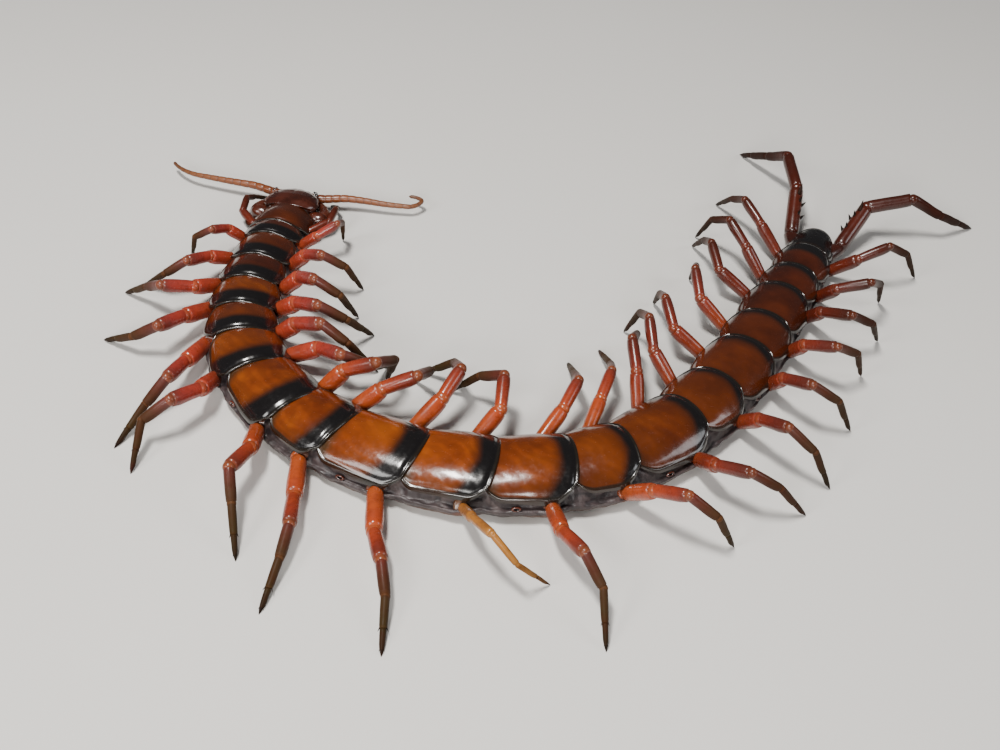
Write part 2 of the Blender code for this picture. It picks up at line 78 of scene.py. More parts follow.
# Each leg in degrees: its swing at the root, the turns of its knee, shin and foot, and its rise
LEFT_POSES = (
    (-60, -25, -15, -25, 20), (75, -10, -60, -35, 60), (75, -15, -40, -35, 40), (75, -50, -60, 5, 35),
    (75, -20, -60, -25, 30), (75, -15, -25, 15, 20), (70, -45, -30, 60, 35), (60, -35, 30, 0, 30),
    (45, -10, -10, -5, 5), (30, 5, -5, -10, 5), (30, 5, 20, 60, 50), (0, 20, 5, -30, 35),
    (25, 5, 15, 35, 60), (-35, 45, 35, 10, 50), (-45, 30, 25, 20, 60), (-75, 55, 45, 20, 60),
    (-75, 65, 60, 20, 60), (-75, 60, 60, 30, 55), (-60, 75, 60, 10, 60), (-20, 55, 10, 10, 60),
    (75, -50, 5, 20, 30)
)
RIGHT_POSES = (
    (-60, -25, -15, -25, 20), (25, -55, -60, -20, 60), (50, -15, -40, -40, 60), (50, -5, -35, -60, 60),
    (60, -20, -35, -45, 50), (70, -25, -10, -30, 55), (60, 10, -50, -60, 40), (75, -20, -65, -65, 60),
    (70, -20, -60, -55, 50), (40, -30, -45, -45, 40), (60, -60, -60, -10, 45), (60, -25, -30, 0, 30),
    (60, -15, -15, -15, 25), (55, -20, 25, -15, 55), (5, 40, -5, -15, 60), (-20, 65, 10, 5, 50),
    (-5, 60, 20, -10, 55), (-10, 60, 5, 0, 45), (20, 10, 0, 10, 60), (35, 0, 10, 5, 45),
    (75, -15, -15, 0, 30)
)

# Points of a claw's middle line in mm: aside, forward, up and radius
CLAW_ROUTE = (
    (2.95, 1.6, 1.5, 1.0), (4.7, 0.5, 1.7, 1.35), (6.1, 0.6, 1.7, 1.4), (6.2, 2.0, 1.6, 1.2),
    (5.2, 4.3, 1.4, 0.95), (3.4, 6.0, 1.2, 0.65), (1.2, 6.9, 1.0, 0.27)
)
FEELER_BASE = Vector((2.25, 7.35, 3.0)) * MM
FEELER_ARTICLES = 17
FEELER_RADIUS = 0.84 * MM
FEELER_TIP_RADIUS = 0.31 * MM
# Each feeler's article number, heading and rise in degrees
LEFT_FEELER = ((0, 92, -2), (5, 88, 1), (11, 80, -3), (17, 35, -5))
RIGHT_FEELER = (
    (0, 100, -3), (4, 84, -2), (8, 90, -3), (12, 80, -2), (14, 20, 3), (15, -60, 2), (17, -112, -2)
)
LEFT_ARTICLE = 1.56 * MM
RIGHT_ARTICLE = 1.47 * MM


# Meshes from grids of points


class Surface:
    """Gathers grids of points into one mesh, with the same named values for every grid."""

    def __init__(self):
        self.points = []
        self.faces = []
        self.values = {}
        self.count = 0

    def grid(self, points, wrap=False, caps=False, **values):
        """Adds rows of points; wrap closes each row on itself, caps fill the first and the last row."""
        rows, columns = points.shape[:2]
        index = np.arange(rows * columns).reshape(rows, columns) + self.count
        following = np.roll(index, -1, axis=1) if wrap else index[:, 1:]
        here = index if wrap else index[:, :-1]
        quads = np.stack([here[:-1], following[:-1], following[1:], here[1:]], axis=-1).reshape(-1, 4)
        self.faces.extend(quads.tolist())
        if caps:
            self.faces.append(index[0][::-1].tolist())
            self.faces.append(index[-1].tolist())
        self.points.append(points.reshape(-1, 3))
        for name, value in values.items():
            spread = np.broadcast_to(value, (rows, columns)).reshape(-1)
            self.values.setdefault(name, []).append(spread)
        self.count += rows * columns
        return self

    def make(self, name, material, smooth=True):
        data = bpy.data.meshes.new(name)
        data.from_pydata(np.concatenate(self.points).tolist(), [], self.faces)
        for label, parts in self.values.items():
            values = np.concatenate(parts).astype(np.float32)
            data.attributes.new(label, "FLOAT", "POINT").data.foreach_set("value", values)
        data.polygons.foreach_set("use_smooth", [smooth] * len(data.polygons))
        data.materials.append(material)
        made = bpy.data.objects.new(name, data)
        bpy.context.scene.collection.objects.link(made)
        return made


def smooth_step(value):
    value = np.clip(value, 0, 1)
    return value * value * (3 - 2 * value)


def bell(value, middle, reach):
    """A hump of height 1 at the middle, down to about a third at its reach on either side."""
    return np.exp(-(((value - middle) / reach) ** 2))


def unit(vector):
    return vector / np.linalg.norm(vector)


def turns_of(count):
    return np.linspace(0, 2 * math.pi, count, endpoint=False)


def smooth_line(points, places):
    """Reads a smooth curve through points at places from 0 to the number of points less one."""
    points = np.asarray(points, float)
    places = np.clip(places, 0, len(points) - 1)
    index = np.minimum(places.astype(int), len(points) - 2)
    share = (places - index)[:, None]
    padded = np.vstack([2 * points[0] - points[1], points, 2 * points[-1] - points[-2]])
    before, here, after, beyond = padded[index], padded[index + 1], padded[index + 2], padded[index + 3]
    slope_here = (after - before) / 2
    slope_after = (beyond - here) / 2
    return (
        (2 * share**3 - 3 * share**2 + 1) * here + (share**3 - 2 * share**2 + share) * slope_here
        + (3 * share**2 - 2 * share**3) * after + (share**3 - share**2) * slope_after
    )


def noise_field(points, scale):
    """Soft random heights of about -1 to 1 at an array of points, in features of the given size."""
    flat = points.reshape(-1, 3) / scale
    values = [noise.fractal(Vector(point), 0.9, 2.1, 3) for point in flat]
    return np.array(values).reshape(points.shape[:-1])


def normals_of(points):
    """Directions square to a grid of points whose rows close on themselves."""
    along = np.gradient(points, axis=0)
    around = np.roll(points, -1, axis=1) - np.roll(points, 1, axis=1)
    square = np.cross(around, along)
    return square / np.maximum(np.linalg.norm(square, axis=-1, keepdims=True), 1e-12)


def dress(thing, slot, *nodes):
    """Hands a piece to the frame, as a stand-in for nodes of the solids if any are named."""
    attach(thing, "root")
    if nodes:
        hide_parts(*nodes)


def sided(name, side):
    return f"{name}_{'left' if side > 0 else 'right'}"


# The trunk's line


def trunk_line():
    points = [HEAD_BORDER.copy()]
    headings = [math.radians(HEADINGS[0])]
    for number, length in enumerate(SEGMENT_LENGTHS):
        first, last = HEADINGS[number], HEADINGS[number + 1]
        for step in range(STEPS):
            middle = math.radians(first + (last - first) * (step + 0.5) / STEPS)
            ahead = Vector((math.cos(middle), math.sin(middle), 0)) * length * MM / STEPS
            points.append(points[-1] + ahead)
            headings.append(math.radians(first + (last - first) * (step + 1) / STEPS))
    return np.array(points), np.array(headings)


LINE, LINE_HEADINGS = trunk_line()
LINE_PLACES = np.arange(len(LINE)) / STEPS


class Stand:
    """A stand on the trunk's line, with directions along to the tail, to the animal's left, and up."""

    def __init__(self, position):
        heading = float(np.interp(position, LINE_PLACES, LINE_HEADINGS))
        self.along = Vector((math.cos(heading), math.sin(heading), 0))
        self.left = Vector((math.sin(heading), -math.cos(heading), 0))
        self.up = Vector((0, 0, 1))
        self.origin = Vector([float(np.interp(position, LINE_PLACES, LINE[:, axis])) for axis in range(3)])

    def point(self, along, left, up):
        return self.origin + self.along * along + self.left * left + self.up * up


HEAD = Stand(0)


def width_at(position):
    return BODY_WIDTH * np.interp(position, WIDTH_PLACES, WIDTH_SHARES)


def trunk_points(positions, sides, heights):
    """Points of the trunk from places down its line, sides to the left and heights."""
    headings = np.interp(positions, LINE_PLACES, LINE_HEADINGS)
    x = np.interp(positions, LINE_PLACES, LINE[:, 0]) + np.sin(headings) * sides
    y = np.interp(positions, LINE_PLACES, LINE[:, 1]) - np.cos(headings) * sides
    return np.stack([x, y, heights], axis=-1)


# Materials

SCRATCH_DEPTH = 0.03 * MM
PORE_DEPTH = 0.04 * MM
SWELL_DEPTH = 0.12 * MM
WRINKLE_DEPTH = 0.20 * MM

RUST = ((0.30, (0.095, 0.015, 0.002)), (0.52, (0.185, 0.035, 0.003)), (0.72, (0.270, 0.060, 0.004)))
CURL_RUST = (0.090, 0.017, 0.002)
GRAIN_RUST = (0.075, 0.014, 0.002)
BRIGHT_RUST = (0.285, 0.068, 0.005)
SIDE_RUST = (0.050, 0.014, 0.003)
FRONT_BROWN = (0.026, 0.017, 0.006)
GLOOM_DARK = (0.022, 0.0045, 0.002)
GLOOM_LIGHT = (0.050, 0.0095, 0.003)
BAND_BROWN = (0.020, 0.0065, 0.003)
BAND_BLACK = (0.0050, 0.0042, 0.0044)
RIM_BROWN = (0.010, 0.0075, 0.005)

SKIN_GREYS = ((0.28, (0.016, 0.011, 0.011)), (0.50, (0.042, 0.030, 0.031)), (0.75, (0.095, 0.070, 0.066)))
FLECK_GREY = (0.150, 0.125, 0.120)
BELLY_BROWN = (0.120, 0.048, 0.018)
HIP_BROWN = (0.105, 0.032, 0.012)
# Painted shade: near-black laid into the hollows of the skin's folds and creases
FOLD_SHADE_BLACK = (0.010, 0.008, 0.010)

MOTTLE_RED = (0.035, 0.006, 0.003)
CLOUD_RED = (0.050, 0.008, 0.004)
GROOVE_BROWN = (0.018, 0.008, 0.006)
FEELER_BROWNS = (
    (0.0, (0.075, 0.016, 0.005)), (0.25, (0.170, 0.044, 0.009)),
    (0.7, (0.165, 0.055, 0.015)), (1.0, (0.085, 0.034, 0.014))
)
FEELER_CLOUD = (0.11, 0.028, 0.010)
FEELER_RING = (0.060, 0.020, 0.010)
EYE_BLACKS = ((0.3, (0.004, 0.004, 0.005)), (0.8, (0.016, 0.012, 0.010)))
FLOOR_GREYS = ((0.3, (0.60, 0.585, 0.56)), (0.7, (0.63, 0.615, 0.59)))


class Shades:
    """A material with a Principled shader and a short way to add nodes."""

    def __init__(self, name, roughness, specular, coat=0.0, coat_roughness=0.1):
        self.material = bpy.data.materials.new(name)
        self.material.use_nodes = True
        self.tree = self.material.node_tree
        self.shader = self.tree.nodes["Principled BSDF"]
        self.place = self.add("ShaderNodeTexCoord", "Object", {})
        gloss = {"Specular IOR Level": specular, "Coat Weight": coat, "Coat Roughness": coat_roughness}
        self.finish(None, roughness, **gloss)

    def give(self, socket, given):
        """Links an output to a socket, or writes a number or a colour to it; nothing leaves it alone."""
        if isinstance(given, (int, float)):
            socket.default_value = given
        elif isinstance(given, tuple):
            socket.default_value = (*given, 1)
        elif given is not None:
            self.tree.links.new(given, socket)

    def add(self, kind, output, inputs, **settings):
        """Adds a node, fills its inputs by name or number, and gives one of its outputs."""
        made = self.tree.nodes.new(kind)
        for name, value in settings.items():
            setattr(made, name, value)
        for name, given in inputs.items():
            self.give(made.inputs[name], given)
        return made.outputs[output]

    def value(self, name):
        return self.add("ShaderNodeAttribute", "Fac", {}, attribute_name=name)

    def sum(self, operation, *terms):
        """One step of arithmetic, by the name of its operation."""
        return self.add("ShaderNodeMath", 0, dict(enumerate(terms)), operation=operation)

    def sway(self, source, size):
        """Turns a source from 0 to 1 into swings of the given size about zero."""
        return self.sum("MULTIPLY", self.sum("SUBTRACT", source, 0.5), size)

    def stretch(self, source, low, high, to_low=0.0, to_high=1.0):
        inputs = {"Value": source, "From Min": low, "From Max": high, "To Min": to_low, "To Max": to_high}
        return self.add("ShaderNodeMapRange", "Result", inputs, interpolation_type="SMOOTHSTEP")

    def noise(self, scale, detail=4.0, roughness=0.55, distortion=0.0):
        inputs = {"Vector": self.place, "Scale": scale, "Detail": detail}
        inputs |= {"Roughness": roughness, "Distortion": distortion}
        return self.add("ShaderNodeTexNoise", "Fac", inputs)

    def curls(self, scale, distortion):
        """Faint curling lines, as a shell's growth leaves."""
        inputs = {"Vector": self.place, "Scale": scale, "Distortion": distortion}
        inputs |= {"Detail": 2.5, "Detail Scale": 0.8}
        return self.add("ShaderNodeTexWave", "Fac", inputs, bands_direction="DIAGONAL")

    def ramp(self, source, stops):
        colour = self.add("ShaderNodeValToRGB", "Color", {"Fac": source})
        elements = colour.node.color_ramp.elements
        elements.remove(elements[-1])
        elements[0].position = stops[0][0]
        elements[0].color = (*stops[0][1], 1)
        for place, shade in stops[1:]:
            elements.new(place).color = (*shade, 1)
        return colour

    def mix(self, share, first, second):
        return self.add("ShaderNodeMix", 2, {0: share, 6: first, 7: second}, data_type="RGBA")

    def tint(self, colour, target, source, low, high, share=1.0, start=0.0):
        """Turns a colour towards a target, from start to share as the source runs from low to high."""
        return self.mix(self.stretch(source, low, high, start, share), colour, target)

    def layers(self, colour, *tints):
        for tint in tints:
            colour = self.tint(colour, *tint)
        return colour

    def bump(self, height, distance, strength, onto=None):
        inputs = {"Distance": distance, "Strength": strength, "Height": height, "Normal": onto}
        return self.add("ShaderNodeBump", "Normal", inputs)

    def finish(self, colour, roughness=None, normal=None, **others):
        others |= {"Base Color": colour, "Roughness": roughness, "Normal": normal}
        for name, given in others.items():
            self.give(self.shader.inputs[name], given)
        return self.material


def plate_material():
    """Rusty brown horn, black at the rear border and dark at the sides, under a hard gloss."""
    shades = Shades("shell_plate", 0.22, 0.5, coat=0.45, coat_roughness=0.09)
    along, across, gloom, border = (shades.value(name) for name in ("along", "across", "gloom", "border"))
    grain = shades.noise(420, detail=6, roughness=0.6, distortion=0.8)
    blotch = shades.noise(150, detail=3)
    curls = shades.curls(210, 9.0)
    side = shades.sum("ABSOLUTE", across)
    front = shades.sum("ADD", along, shades.sway(grain, 0.10))
    rust = shades.layers(
        shades.ramp(blotch, RUST),
        (CURL_RUST, curls, 0.25, 0.95, 0.0, 0.34),
        (GRAIN_RUST, grain, 0.42, 0.78, 0.35),
        (BRIGHT_RUST, shades.noise(60, detail=2), 0.42, 0.60, 0.30),
        (SIDE_RUST, side, 0.50, 0.98, 0.72),
        (FRONT_BROWN, front, 0.24, 0.10, 0.90),
    )
    edge = shades.sum("ADD", shades.sum("SUBTRACT", along, shades.value("band")), shades.sway(blotch, 0.13))
    edge = shades.sum("ADD", edge, shades.sum("MULTIPLY", shades.sum("POWER", side, 3.0), 0.15))
    colour = shades.layers(
        shades.mix(gloom, rust, shades.tint(GLOOM_DARK, GLOOM_LIGHT, blotch, 0.3, 0.7)),
        (BAND_BROWN, edge, -0.110, 0.020, 0.80),
        (BAND_BLACK, edge, -0.035, 0.045),
        (RIM_BROWN, border, 0.048, 0.026, 0.88),
    )
    fine = shades.noise(1500, detail=5, roughness=0.6)
    normal = shades.bump(shades.noise(300, detail=3), SWELL_DEPTH, 0.45)
    normal = shades.bump(curls, SCRATCH_DEPTH, 0.35, onto=normal)
    normal = shades.bump(fine, SCRATCH_DEPTH, 0.30, onto=normal)
    return shades.finish(colour, shades.stretch(fine, 0.3, 0.8, 0.17, 0.30), normal)


def skin_material():
    """Grey soft skin with pale flecks and fine folds, browner beside the legs and towards the belly."""
    shades = Shades("soft_skin", 0.45, 0.4, coat=0.10, coat_roughness=0.25)
    cloud = shades.noise(300, detail=6, roughness=0.65)
    flecks = shades.noise(1700, detail=4, roughness=0.7)
    brown = shades.noise(210, detail=4)
    low = shades.sum("MULTIPLY", shades.value("low"), shades.stretch(brown, 0.38, 0.60))
    colour = shades.tint(shades.ramp(cloud, SKIN_GREYS), FLECK_GREY, flecks, 0.58, 0.76, 0.55)
    colour = shades.layers(
        shades.mix(shades.sum("MULTIPLY", low, 0.75), colour, BELLY_BROWN),
        (HIP_BROWN, shades.value("hard"), 0.25, 0.8, 0.85),
        # Painted shade darkens the hollows of the skin's folds and creases
        (FOLD_SHADE_BLACK, shades.value("fold"), 0.1, 0.9, 0.75),
    )
    normal = shades.bump(shades.noise(900, detail=5, roughness=0.65), WRINKLE_DEPTH, 0.8)
    return shades.finish(colour, shades.stretch(cloud, 0.3, 0.7, 0.36, 0.56), normal)


def leg_material(name, stops, joint_colour, roughness):
    """Horn whose colour runs from hip to claw, with a lighter ring at each joint and a duller foot."""
    shades = Shades(name, roughness, 0.45, coat=0.2, coat_roughness=0.12)
    reach = shades.value("reach")
    cloud = shades.noise(520, detail=5, roughness=0.6)
    colour = shades.ramp(shades.sum("ADD", reach, shades.sway(cloud, 0.12)), stops)
    ring = shades.sum("MULTIPLY", shades.value("ring"), shades.stretch(reach, 0.5, 0.8, 0.42, 0.15))
    colour = shades.layers(
        shades.mix(ring, colour, joint_colour),
        (MOTTLE_RED, shades.noise(1400, detail=4), 0.42, 0.8, 0.35),
        (CLOUD_RED, shades.noise(260, detail=3), 0.45, 0.70, 0.30),
    )
    gloss = {
        "Specular IOR Level": shades.stretch(reach, 0.40, 0.66, 0.45, 0.07),
        "Coat Weight": shades.stretch(reach, 0.45, 0.72, 0.2, 0.0),
    }
    polish = shades.stretch(cloud, 0.3, 0.75, roughness - 0.05, roughness + 0.10)
    dull = shades.sum("MULTIPLY", shades.stretch(reach, 0.45, 0.75), 0.20)
    normal = shades.bump(shades.noise(1900, detail=4), PORE_DEPTH, 0.4)
    return shades.finish(colour, shades.sum("ADD", polish, dull), normal, **gloss)


def horn_material(name, dark, light, tip, roughness=0.24):
    """Dark glossy horn that turns to a tip colour along its reach."""
    shades = Shades(name, roughness, 0.55, coat=0.5, coat_roughness=0.10)
    cloud = shades.noise(350, detail=5, roughness=0.6)
    colour = shades.layers(
        dark,
        (light, cloud, 0.32, 0.72),
        (tip, shades.value("reach"), 0.62, 0.86),
        (GROOVE_BROWN, shades.value("ring"), 0.2, 0.9, 0.7),
    )
    normal = shades.bump(shades.noise(1400, detail=4), PORE_DEPTH, 0.4)
    return shades.finish(colour, shades.stretch(cloud, 0.3, 0.7, roughness - 0.04, roughness + 0.10), normal)


def feeler_material():
    """Orange-brown rings, bare and glossy near the head and downy further out."""
    shades = Shades("feeler_horn", 0.36, 0.45, coat=0.1, coat_roughness=0.2)
    reach = shades.value("reach")
    cloud = shades.noise(700, detail=4)
    colour = shades.layers(
        shades.ramp(reach, FEELER_BROWNS),
        (FEELER_CLOUD, cloud, 0.35, 0.75, 0.4),
        (FEELER_RING, shades.value("ring"), 0.15, 0.9, 0.60),
    )
    normal = shades.bump(shades.noise(4200, detail=3), PORE_DEPTH, 0.5)
    return shades.finish(colour, shades.stretch(reach, 0.1, 0.5, 0.28, 0.52), normal)


def eye_material():
    shades = Shades("ocellus", 0.06, 0.8, coat=1.0, coat_roughness=0.03)
    return shades.finish(shades.ramp(shades.noise(2500, detail=3), EYE_BLACKS))


def floor_material():
    shades = Shades("studio_floor", 0.75, 0.2)
    return shades.finish(shades.ramp(shades.noise(6, detail=2), FLOOR_GREYS))


LEG_STOPS = (0.00, 0.03, 0.055, 0.26, 0.44, 0.56, 0.70, 0.88, 1.0)


def leg_colours(*colours):
    """A leg's colours from hip to claw: grey hip, red thigh, dusky shin, olive foot and black claw."""
    return tuple(zip(LEG_STOPS, colours))


RED_TO_OLIVE = leg_colours(
    (0.050, 0.034, 0.032), (0.070, 0.034, 0.024), (0.270, 0.042, 0.014),
    (0.300, 0.034, 0.017), (0.200, 0.025, 0.018), (0.092, 0.026, 0.020),
    (0.052, 0.022, 0.011), (0.032, 0.018, 0.006), (0.009, 0.005, 0.003)
)
ORANGE_TO_OLIVE = leg_colours(
    (0.050, 0.034, 0.032), (0.070, 0.034, 0.024), (0.275, 0.052, 0.010),
    (0.300, 0.042, 0.011), (0.180, 0.024, 0.011), (0.078, 0.020, 0.014),
    (0.048, 0.022, 0.011), (0.030, 0.018, 0.006), (0.009, 0.005, 0.003)
)
DUSKY_RED = leg_colours(
    (0.044, 0.029, 0.027), (0.060, 0.028, 0.020), (0.195, 0.034, 0.010),
    (0.160, 0.021, 0.009), (0.085, 0.014, 0.009), (0.062, 0.017, 0.010),
    (0.038, 0.018, 0.009), (0.025, 0.015, 0.006), (0.008, 0.005, 0.003)
)
DARK_RED = (
    (0.00, (0.036, 0.024, 0.022)), (0.03, (0.044, 0.018, 0.014)), (0.055, (0.110, 0.016, 0.006)),
    (0.28, (0.080, 0.011, 0.005)), (0.50, (0.038, 0.009, 0.005)), (0.72, (0.024, 0.011, 0.006)),
    (0.90, (0.018, 0.011, 0.005)), (1.0, (0.006, 0.005, 0.004))
)
TAIL_RED = (
    (0.00, (0.022, 0.006, 0.004)), (0.18, (0.058, 0.009, 0.004)), (0.42, (0.034, 0.007, 0.004)),
    (0.70, (0.022, 0.007, 0.004)), (0.92, (0.016, 0.007, 0.004)), (1.0, (0.005, 0.004, 0.003))
)
REGROWN = (
    (0.00, (0.050, 0.036, 0.032)), (0.04, (0.090, 0.046, 0.024)), (0.08, (0.300, 0.105, 0.018)),
    (0.55, (0.310, 0.125, 0.024)), (0.85, (0.200, 0.088, 0.022)), (1.0, (0.030, 0.014, 0.006))
)

# Each leg's horn: its colours, the colour of its joints and its roughness
LEG_HORNS = {
    "leg": (RED_TO_OLIVE, (0.330, 0.110, 0.035), 0.26),
    "middle_leg": (ORANGE_TO_OLIVE, (0.330, 0.115, 0.035), 0.26),
    "dusky_leg": (DUSKY_RED, (0.230, 0.065, 0.022), 0.26),
    "rear_leg": (DARK_RED, (0.150, 0.030, 0.008), 0.26),
    "tail_leg": (TAIL_RED, (0.090, 0.018, 0.008), 0.24),
    "regrown_leg": (REGROWN, (0.340, 0.150, 0.032), 0.32),
}
HEAD_COLOURS = ((0.020, 0.004, 0.002), (0.055, 0.010, 0.004), (0.025, 0.006, 0.003))
CLAW_COLOURS = ((0.040, 0.008, 0.004), (0.090, 0.018, 0.007), (0.005, 0.004, 0.004))
BELLY_COLOURS = ((0.100, 0.050, 0.030), (0.165, 0.085, 0.050), (0.13, 0.065, 0.04))
MATERIALS = {name: leg_material(name + "_horn", *horn) for name, horn in LEG_HORNS.items()} | {
    "plate": plate_material(),
    "skin": skin_material(),
    "head": horn_material("head_horn", *HEAD_COLOURS),
    "claw": horn_material("claw_horn", *CLAW_COLOURS),
    "belly": horn_material("belly_plate", *BELLY_COLOURS, roughness=0.34),
    "feeler": feeler_material(),
    "eye": eye_material(),
}


# The shell plates, in shares of the width where they stand

PLATE_TOP = 0.507
PLATE_THICKNESS = 0.34 * MM
PLATE_ROWS = 44
EVEN_ROWS = 0.30
PLATE_COLUMNS = 64
PLATE_TUCK = 0.06
FIRST_TUCK = 0.01
PLATE_LAP = 0.085
LAST_LAP = 0.12
SAG_SHARE = 0.6
SHORT_SEGMENTS = (2, 4, 6, 9, 11, 13, 15, 17, 19)
SHORT_SPREAD = 0.965
COLLAR_SPREAD = 0.32
LAST_TAPER = 0.06
LAST_REAR_RADIUS = 0.38

# At the first segment, in the head's arm, in the bend, in the tail's arm and at the last segment
TABLE_SEGMENTS = (1, 7, 11, 14, 21)
LOWEST_OF_PLATES = (0.205, 0.215, 0.250, 0.225, 0.205)
FLATNESS = (2.05, 2.1, 2.4, 2.3, 2.1)
SHOULDERS = (0.85, 0.82, 0.64, 0.70, 0.78)
FRONT_NARROWING = (0.22, 0.20, 0.08, 0.12, 0.14)
FRONT_RADII = (0.22, 0.24, 0.20, 0.32, 0.34)
REAR_RADII = (0.22, 0.23, 0.20, 0.29, 0.33)
REAR_BOWS = (0.015, 0.030, 0.075, 0.080, 0.060)

# A plate's height at its front, its rise to the rear and the swell between
PLATE_LIFT = (-0.040, 0.056, 0.010)
# Height, distance from the border and reach of the raised rim and of the groove inside it
RIM = (0.008, 0.016, 0.013)
RIM_GROOVE = (0.006, 0.048, 0.018)
LIP_DROP = 0.020
LIP_REACH = 0.012
REAR_DROP = 0.020
REAR_DROP_REACH = 0.10

FRONT_GLOOM = {1: 0.92, 2: 0.99, 3: 0.84, 4: 0.96, 5: 0.56, 6: 0.74}
GLOOM_PLACES = (7, 8, 10, 11, 13, 15, 17, 19, 20, 21)
GLOOM_SHARES = (0.42, 0.28, 0.03, 0.0, 0.58, 0.80, 0.92, 0.99, 1.0, 1.0)
BAND_PLACES = (1, 2, 3, 6, 9, 12, 15, 18, 19, 20, 21)
BAND_STARTS = (0.98, 0.62, 0.68, 0.70, 0.76, 0.82, 0.85, 0.84, 0.78, 0.70, 0.30)


def along_trunk(number, values):
    """Reads a size that changes down the trunk."""
    return np.interp(number, TABLE_SEGMENTS, values)


def crown_of(number, reach):
    """How high a plate stands across its width, from 0 at its sides to 1 in the middle."""
    curve = 1 - np.clip(reach, 0, 0.9999) ** along_trunk(number, FLATNESS)
    return curve ** along_trunk(number, SHOULDERS)


def cut_corner(distance, radius):
    """How much a rounded corner takes off, at distances from the end that it rounds."""
    return radius - np.sqrt(radius**2 - np.clip(radius - distance, 0, radius) ** 2)


def half_width_of(number, share, ahead, behind):
    """Half a plate's width down its length: narrower in front, with rounded corners."""
    width = float(width_at(number - 0.5))
    front = 1 - smooth_step((share + 0.05) / 0.75)
    spread = 1 - along_trunk(number, FRONT_NARROWING) * front - 0.02 * smooth_step((share - 0.8) / 0.2)
    if number == 1:
        spread = spread + COLLAR_SPREAD * np.sin(math.pi * np.clip(share * 1.1, 0, 1)) ** 0.7
    if number in SHORT_SEGMENTS:
        spread = spread * SHORT_SPREAD
    if number == SEGMENTS:
        spread = spread - LAST_TAPER * smooth_step((share - 0.35) / 0.65)
    half = 0.5 * width_at(number - 1 + share) * spread
    rear_radius = LAST_REAR_RADIUS if number == SEGMENTS else along_trunk(number, REAR_RADII)
    half = half - cut_corner(ahead, width * along_trunk(number, FRONT_RADII))
    return half - cut_corner(behind, width * rear_radius)


def relief_of(share, border, behind):
    """What the lift to the rear, the raised rim and the turned-down lip add to a plate's height."""
    front, rise, swell = PLATE_LIFT
    lift = front + rise * smooth_step(share / 0.7) + swell * np.sin(math.pi * share)
    rim = RIM[0] * bell(border, *RIM[1:]) - RIM_GROOVE[0] * bell(border, *RIM_GROOVE[1:])
    lip = LIP_DROP * np.clip(1 - border / LIP_REACH, 0, 1) ** 2
    drop = REAR_DROP * smooth_step(1 - behind / REAR_DROP_REACH)
    return lift + rim * smooth_step(share / 0.12) - lip - drop


def plate_surface(number):
    """A rigid plate that laps over the next: its points, shares along and across, and way to the border."""
    start, middle, end = Stand(number - 1), Stand(number - 0.5), Stand(number)
    chord = end.origin - start.origin
    along = np.array(chord / chord.length)
    left = np.array((along[1], -along[0], 0.0))
    bend = np.array(middle.origin) - np.array((start.origin + end.origin) / 2)
    sag = float(np.dot(bend, left)) * SAG_SHARE
    width = float(width_at(number - 0.5))
    tuck = (PLATE_TUCK if number > 1 else FIRST_TUCK) * width
    lap = (PLATE_LAP if number < SEGMENTS else LAST_LAP) * width
    whole = chord.length + tuck + lap
    step = np.linspace(0, 1, PLATE_ROWS)[:, None]
    share = EVEN_ROWS * step + (1 - EVEN_ROWS) * (0.5 - 0.5 * np.cos(math.pi * step))
    ahead = whole * share
    behind = whole - ahead
    local_width = width_at(number - 1 + share)
    half = half_width_of(number, share, ahead, behind)
    side = np.sin(np.linspace(-math.pi / 2, math.pi / 2, PLATE_COLUMNS))[None, :] * np.ones_like(share)
    y = half * side
    reach = np.clip(np.abs(y) / (0.5 * local_width), 0, 1)
    border = np.minimum(half - np.abs(y), behind * np.ones_like(y)) / width
    lowest = along_trunk(number, LOWEST_OF_PLATES)
    crown = (PLATE_TOP - lowest) * crown_of(number, reach)
    bow = along_trunk(number, REAR_BOWS) * width * (1 - reach**2) * smooth_step((share - 0.4) / 0.6)
    x = ahead - tuck + bow
    points = np.array(start.origin) + along * x[..., None] + left * (y + sag)[..., None]
    points[..., 2] = local_width * (lowest + crown + relief_of(share, border, behind / width))
    return points, share * np.ones_like(side), reach * np.sign(side), border


def gloom_of(number):
    """How far a plate's rust gives way to near-black red: at the head and tail ends."""
    return FRONT_GLOOM.get(number, float(np.interp(number, GLOOM_PLACES, GLOOM_SHARES)))


def band_of(number):
    """Where the black rear band of a plate starts, as a share of its length."""
    return float(np.interp(number, BAND_PLACES, BAND_STARTS))


def smoothed(thing):
    smoothing = thing.modifiers.new("smooth", "SUBSURF")
    smoothing.levels = 1
    smoothing.render_levels = 1
    return thing


def thicken(thing, thickness):
    shell = thing.modifiers.new("thickness", "SOLIDIFY")
    shell.thickness = thickness
    shell.offset = -1.0
    shell.use_even_offset = False
    return smoothed(thing)


def build_plates():
    for number in range(1, SEGMENTS + 1):
        points, along, across, border = plate_surface(number)
        surface = Surface().grid(
            points, along=along, across=across, border=border, gloom=gloom_of(number), band=band_of(number)
        )
        plate = surface.make(f"shell_plate_{number:02d}", MATERIALS["plate"])
        dress(thicken(plate, PLATE_THICKNESS), "shell")


# The skin between the plates, in shares of the width

SKIN_OUTLINE = (
    (0.0, 0.016), (0.26, 0.016), (0.40, 0.030), (0.475, 0.085), (0.505, 0.165),
    (0.490, 0.245), (0.445, 0.315), (0.36, 0.385), (0.22, 0.440), (0.0, 0.462)
)
SKIN_COLUMNS = 88
SKIN_ROWS_IN_SEGMENT = 26
NECK_WIDTH = 0.62
NECK_LENGTH = 0.9
TAIL_NARROWING = 0.30
TAIL_START = 20.2
TAIL_LENGTH = 0.8
SLIM_PLACES = (6, 9, 13, 15)
SLIM_SHARES = (0.93, 1.0, 1.0, 0.93)
PINCH = 0.075
JOINT_REACH = 0.13
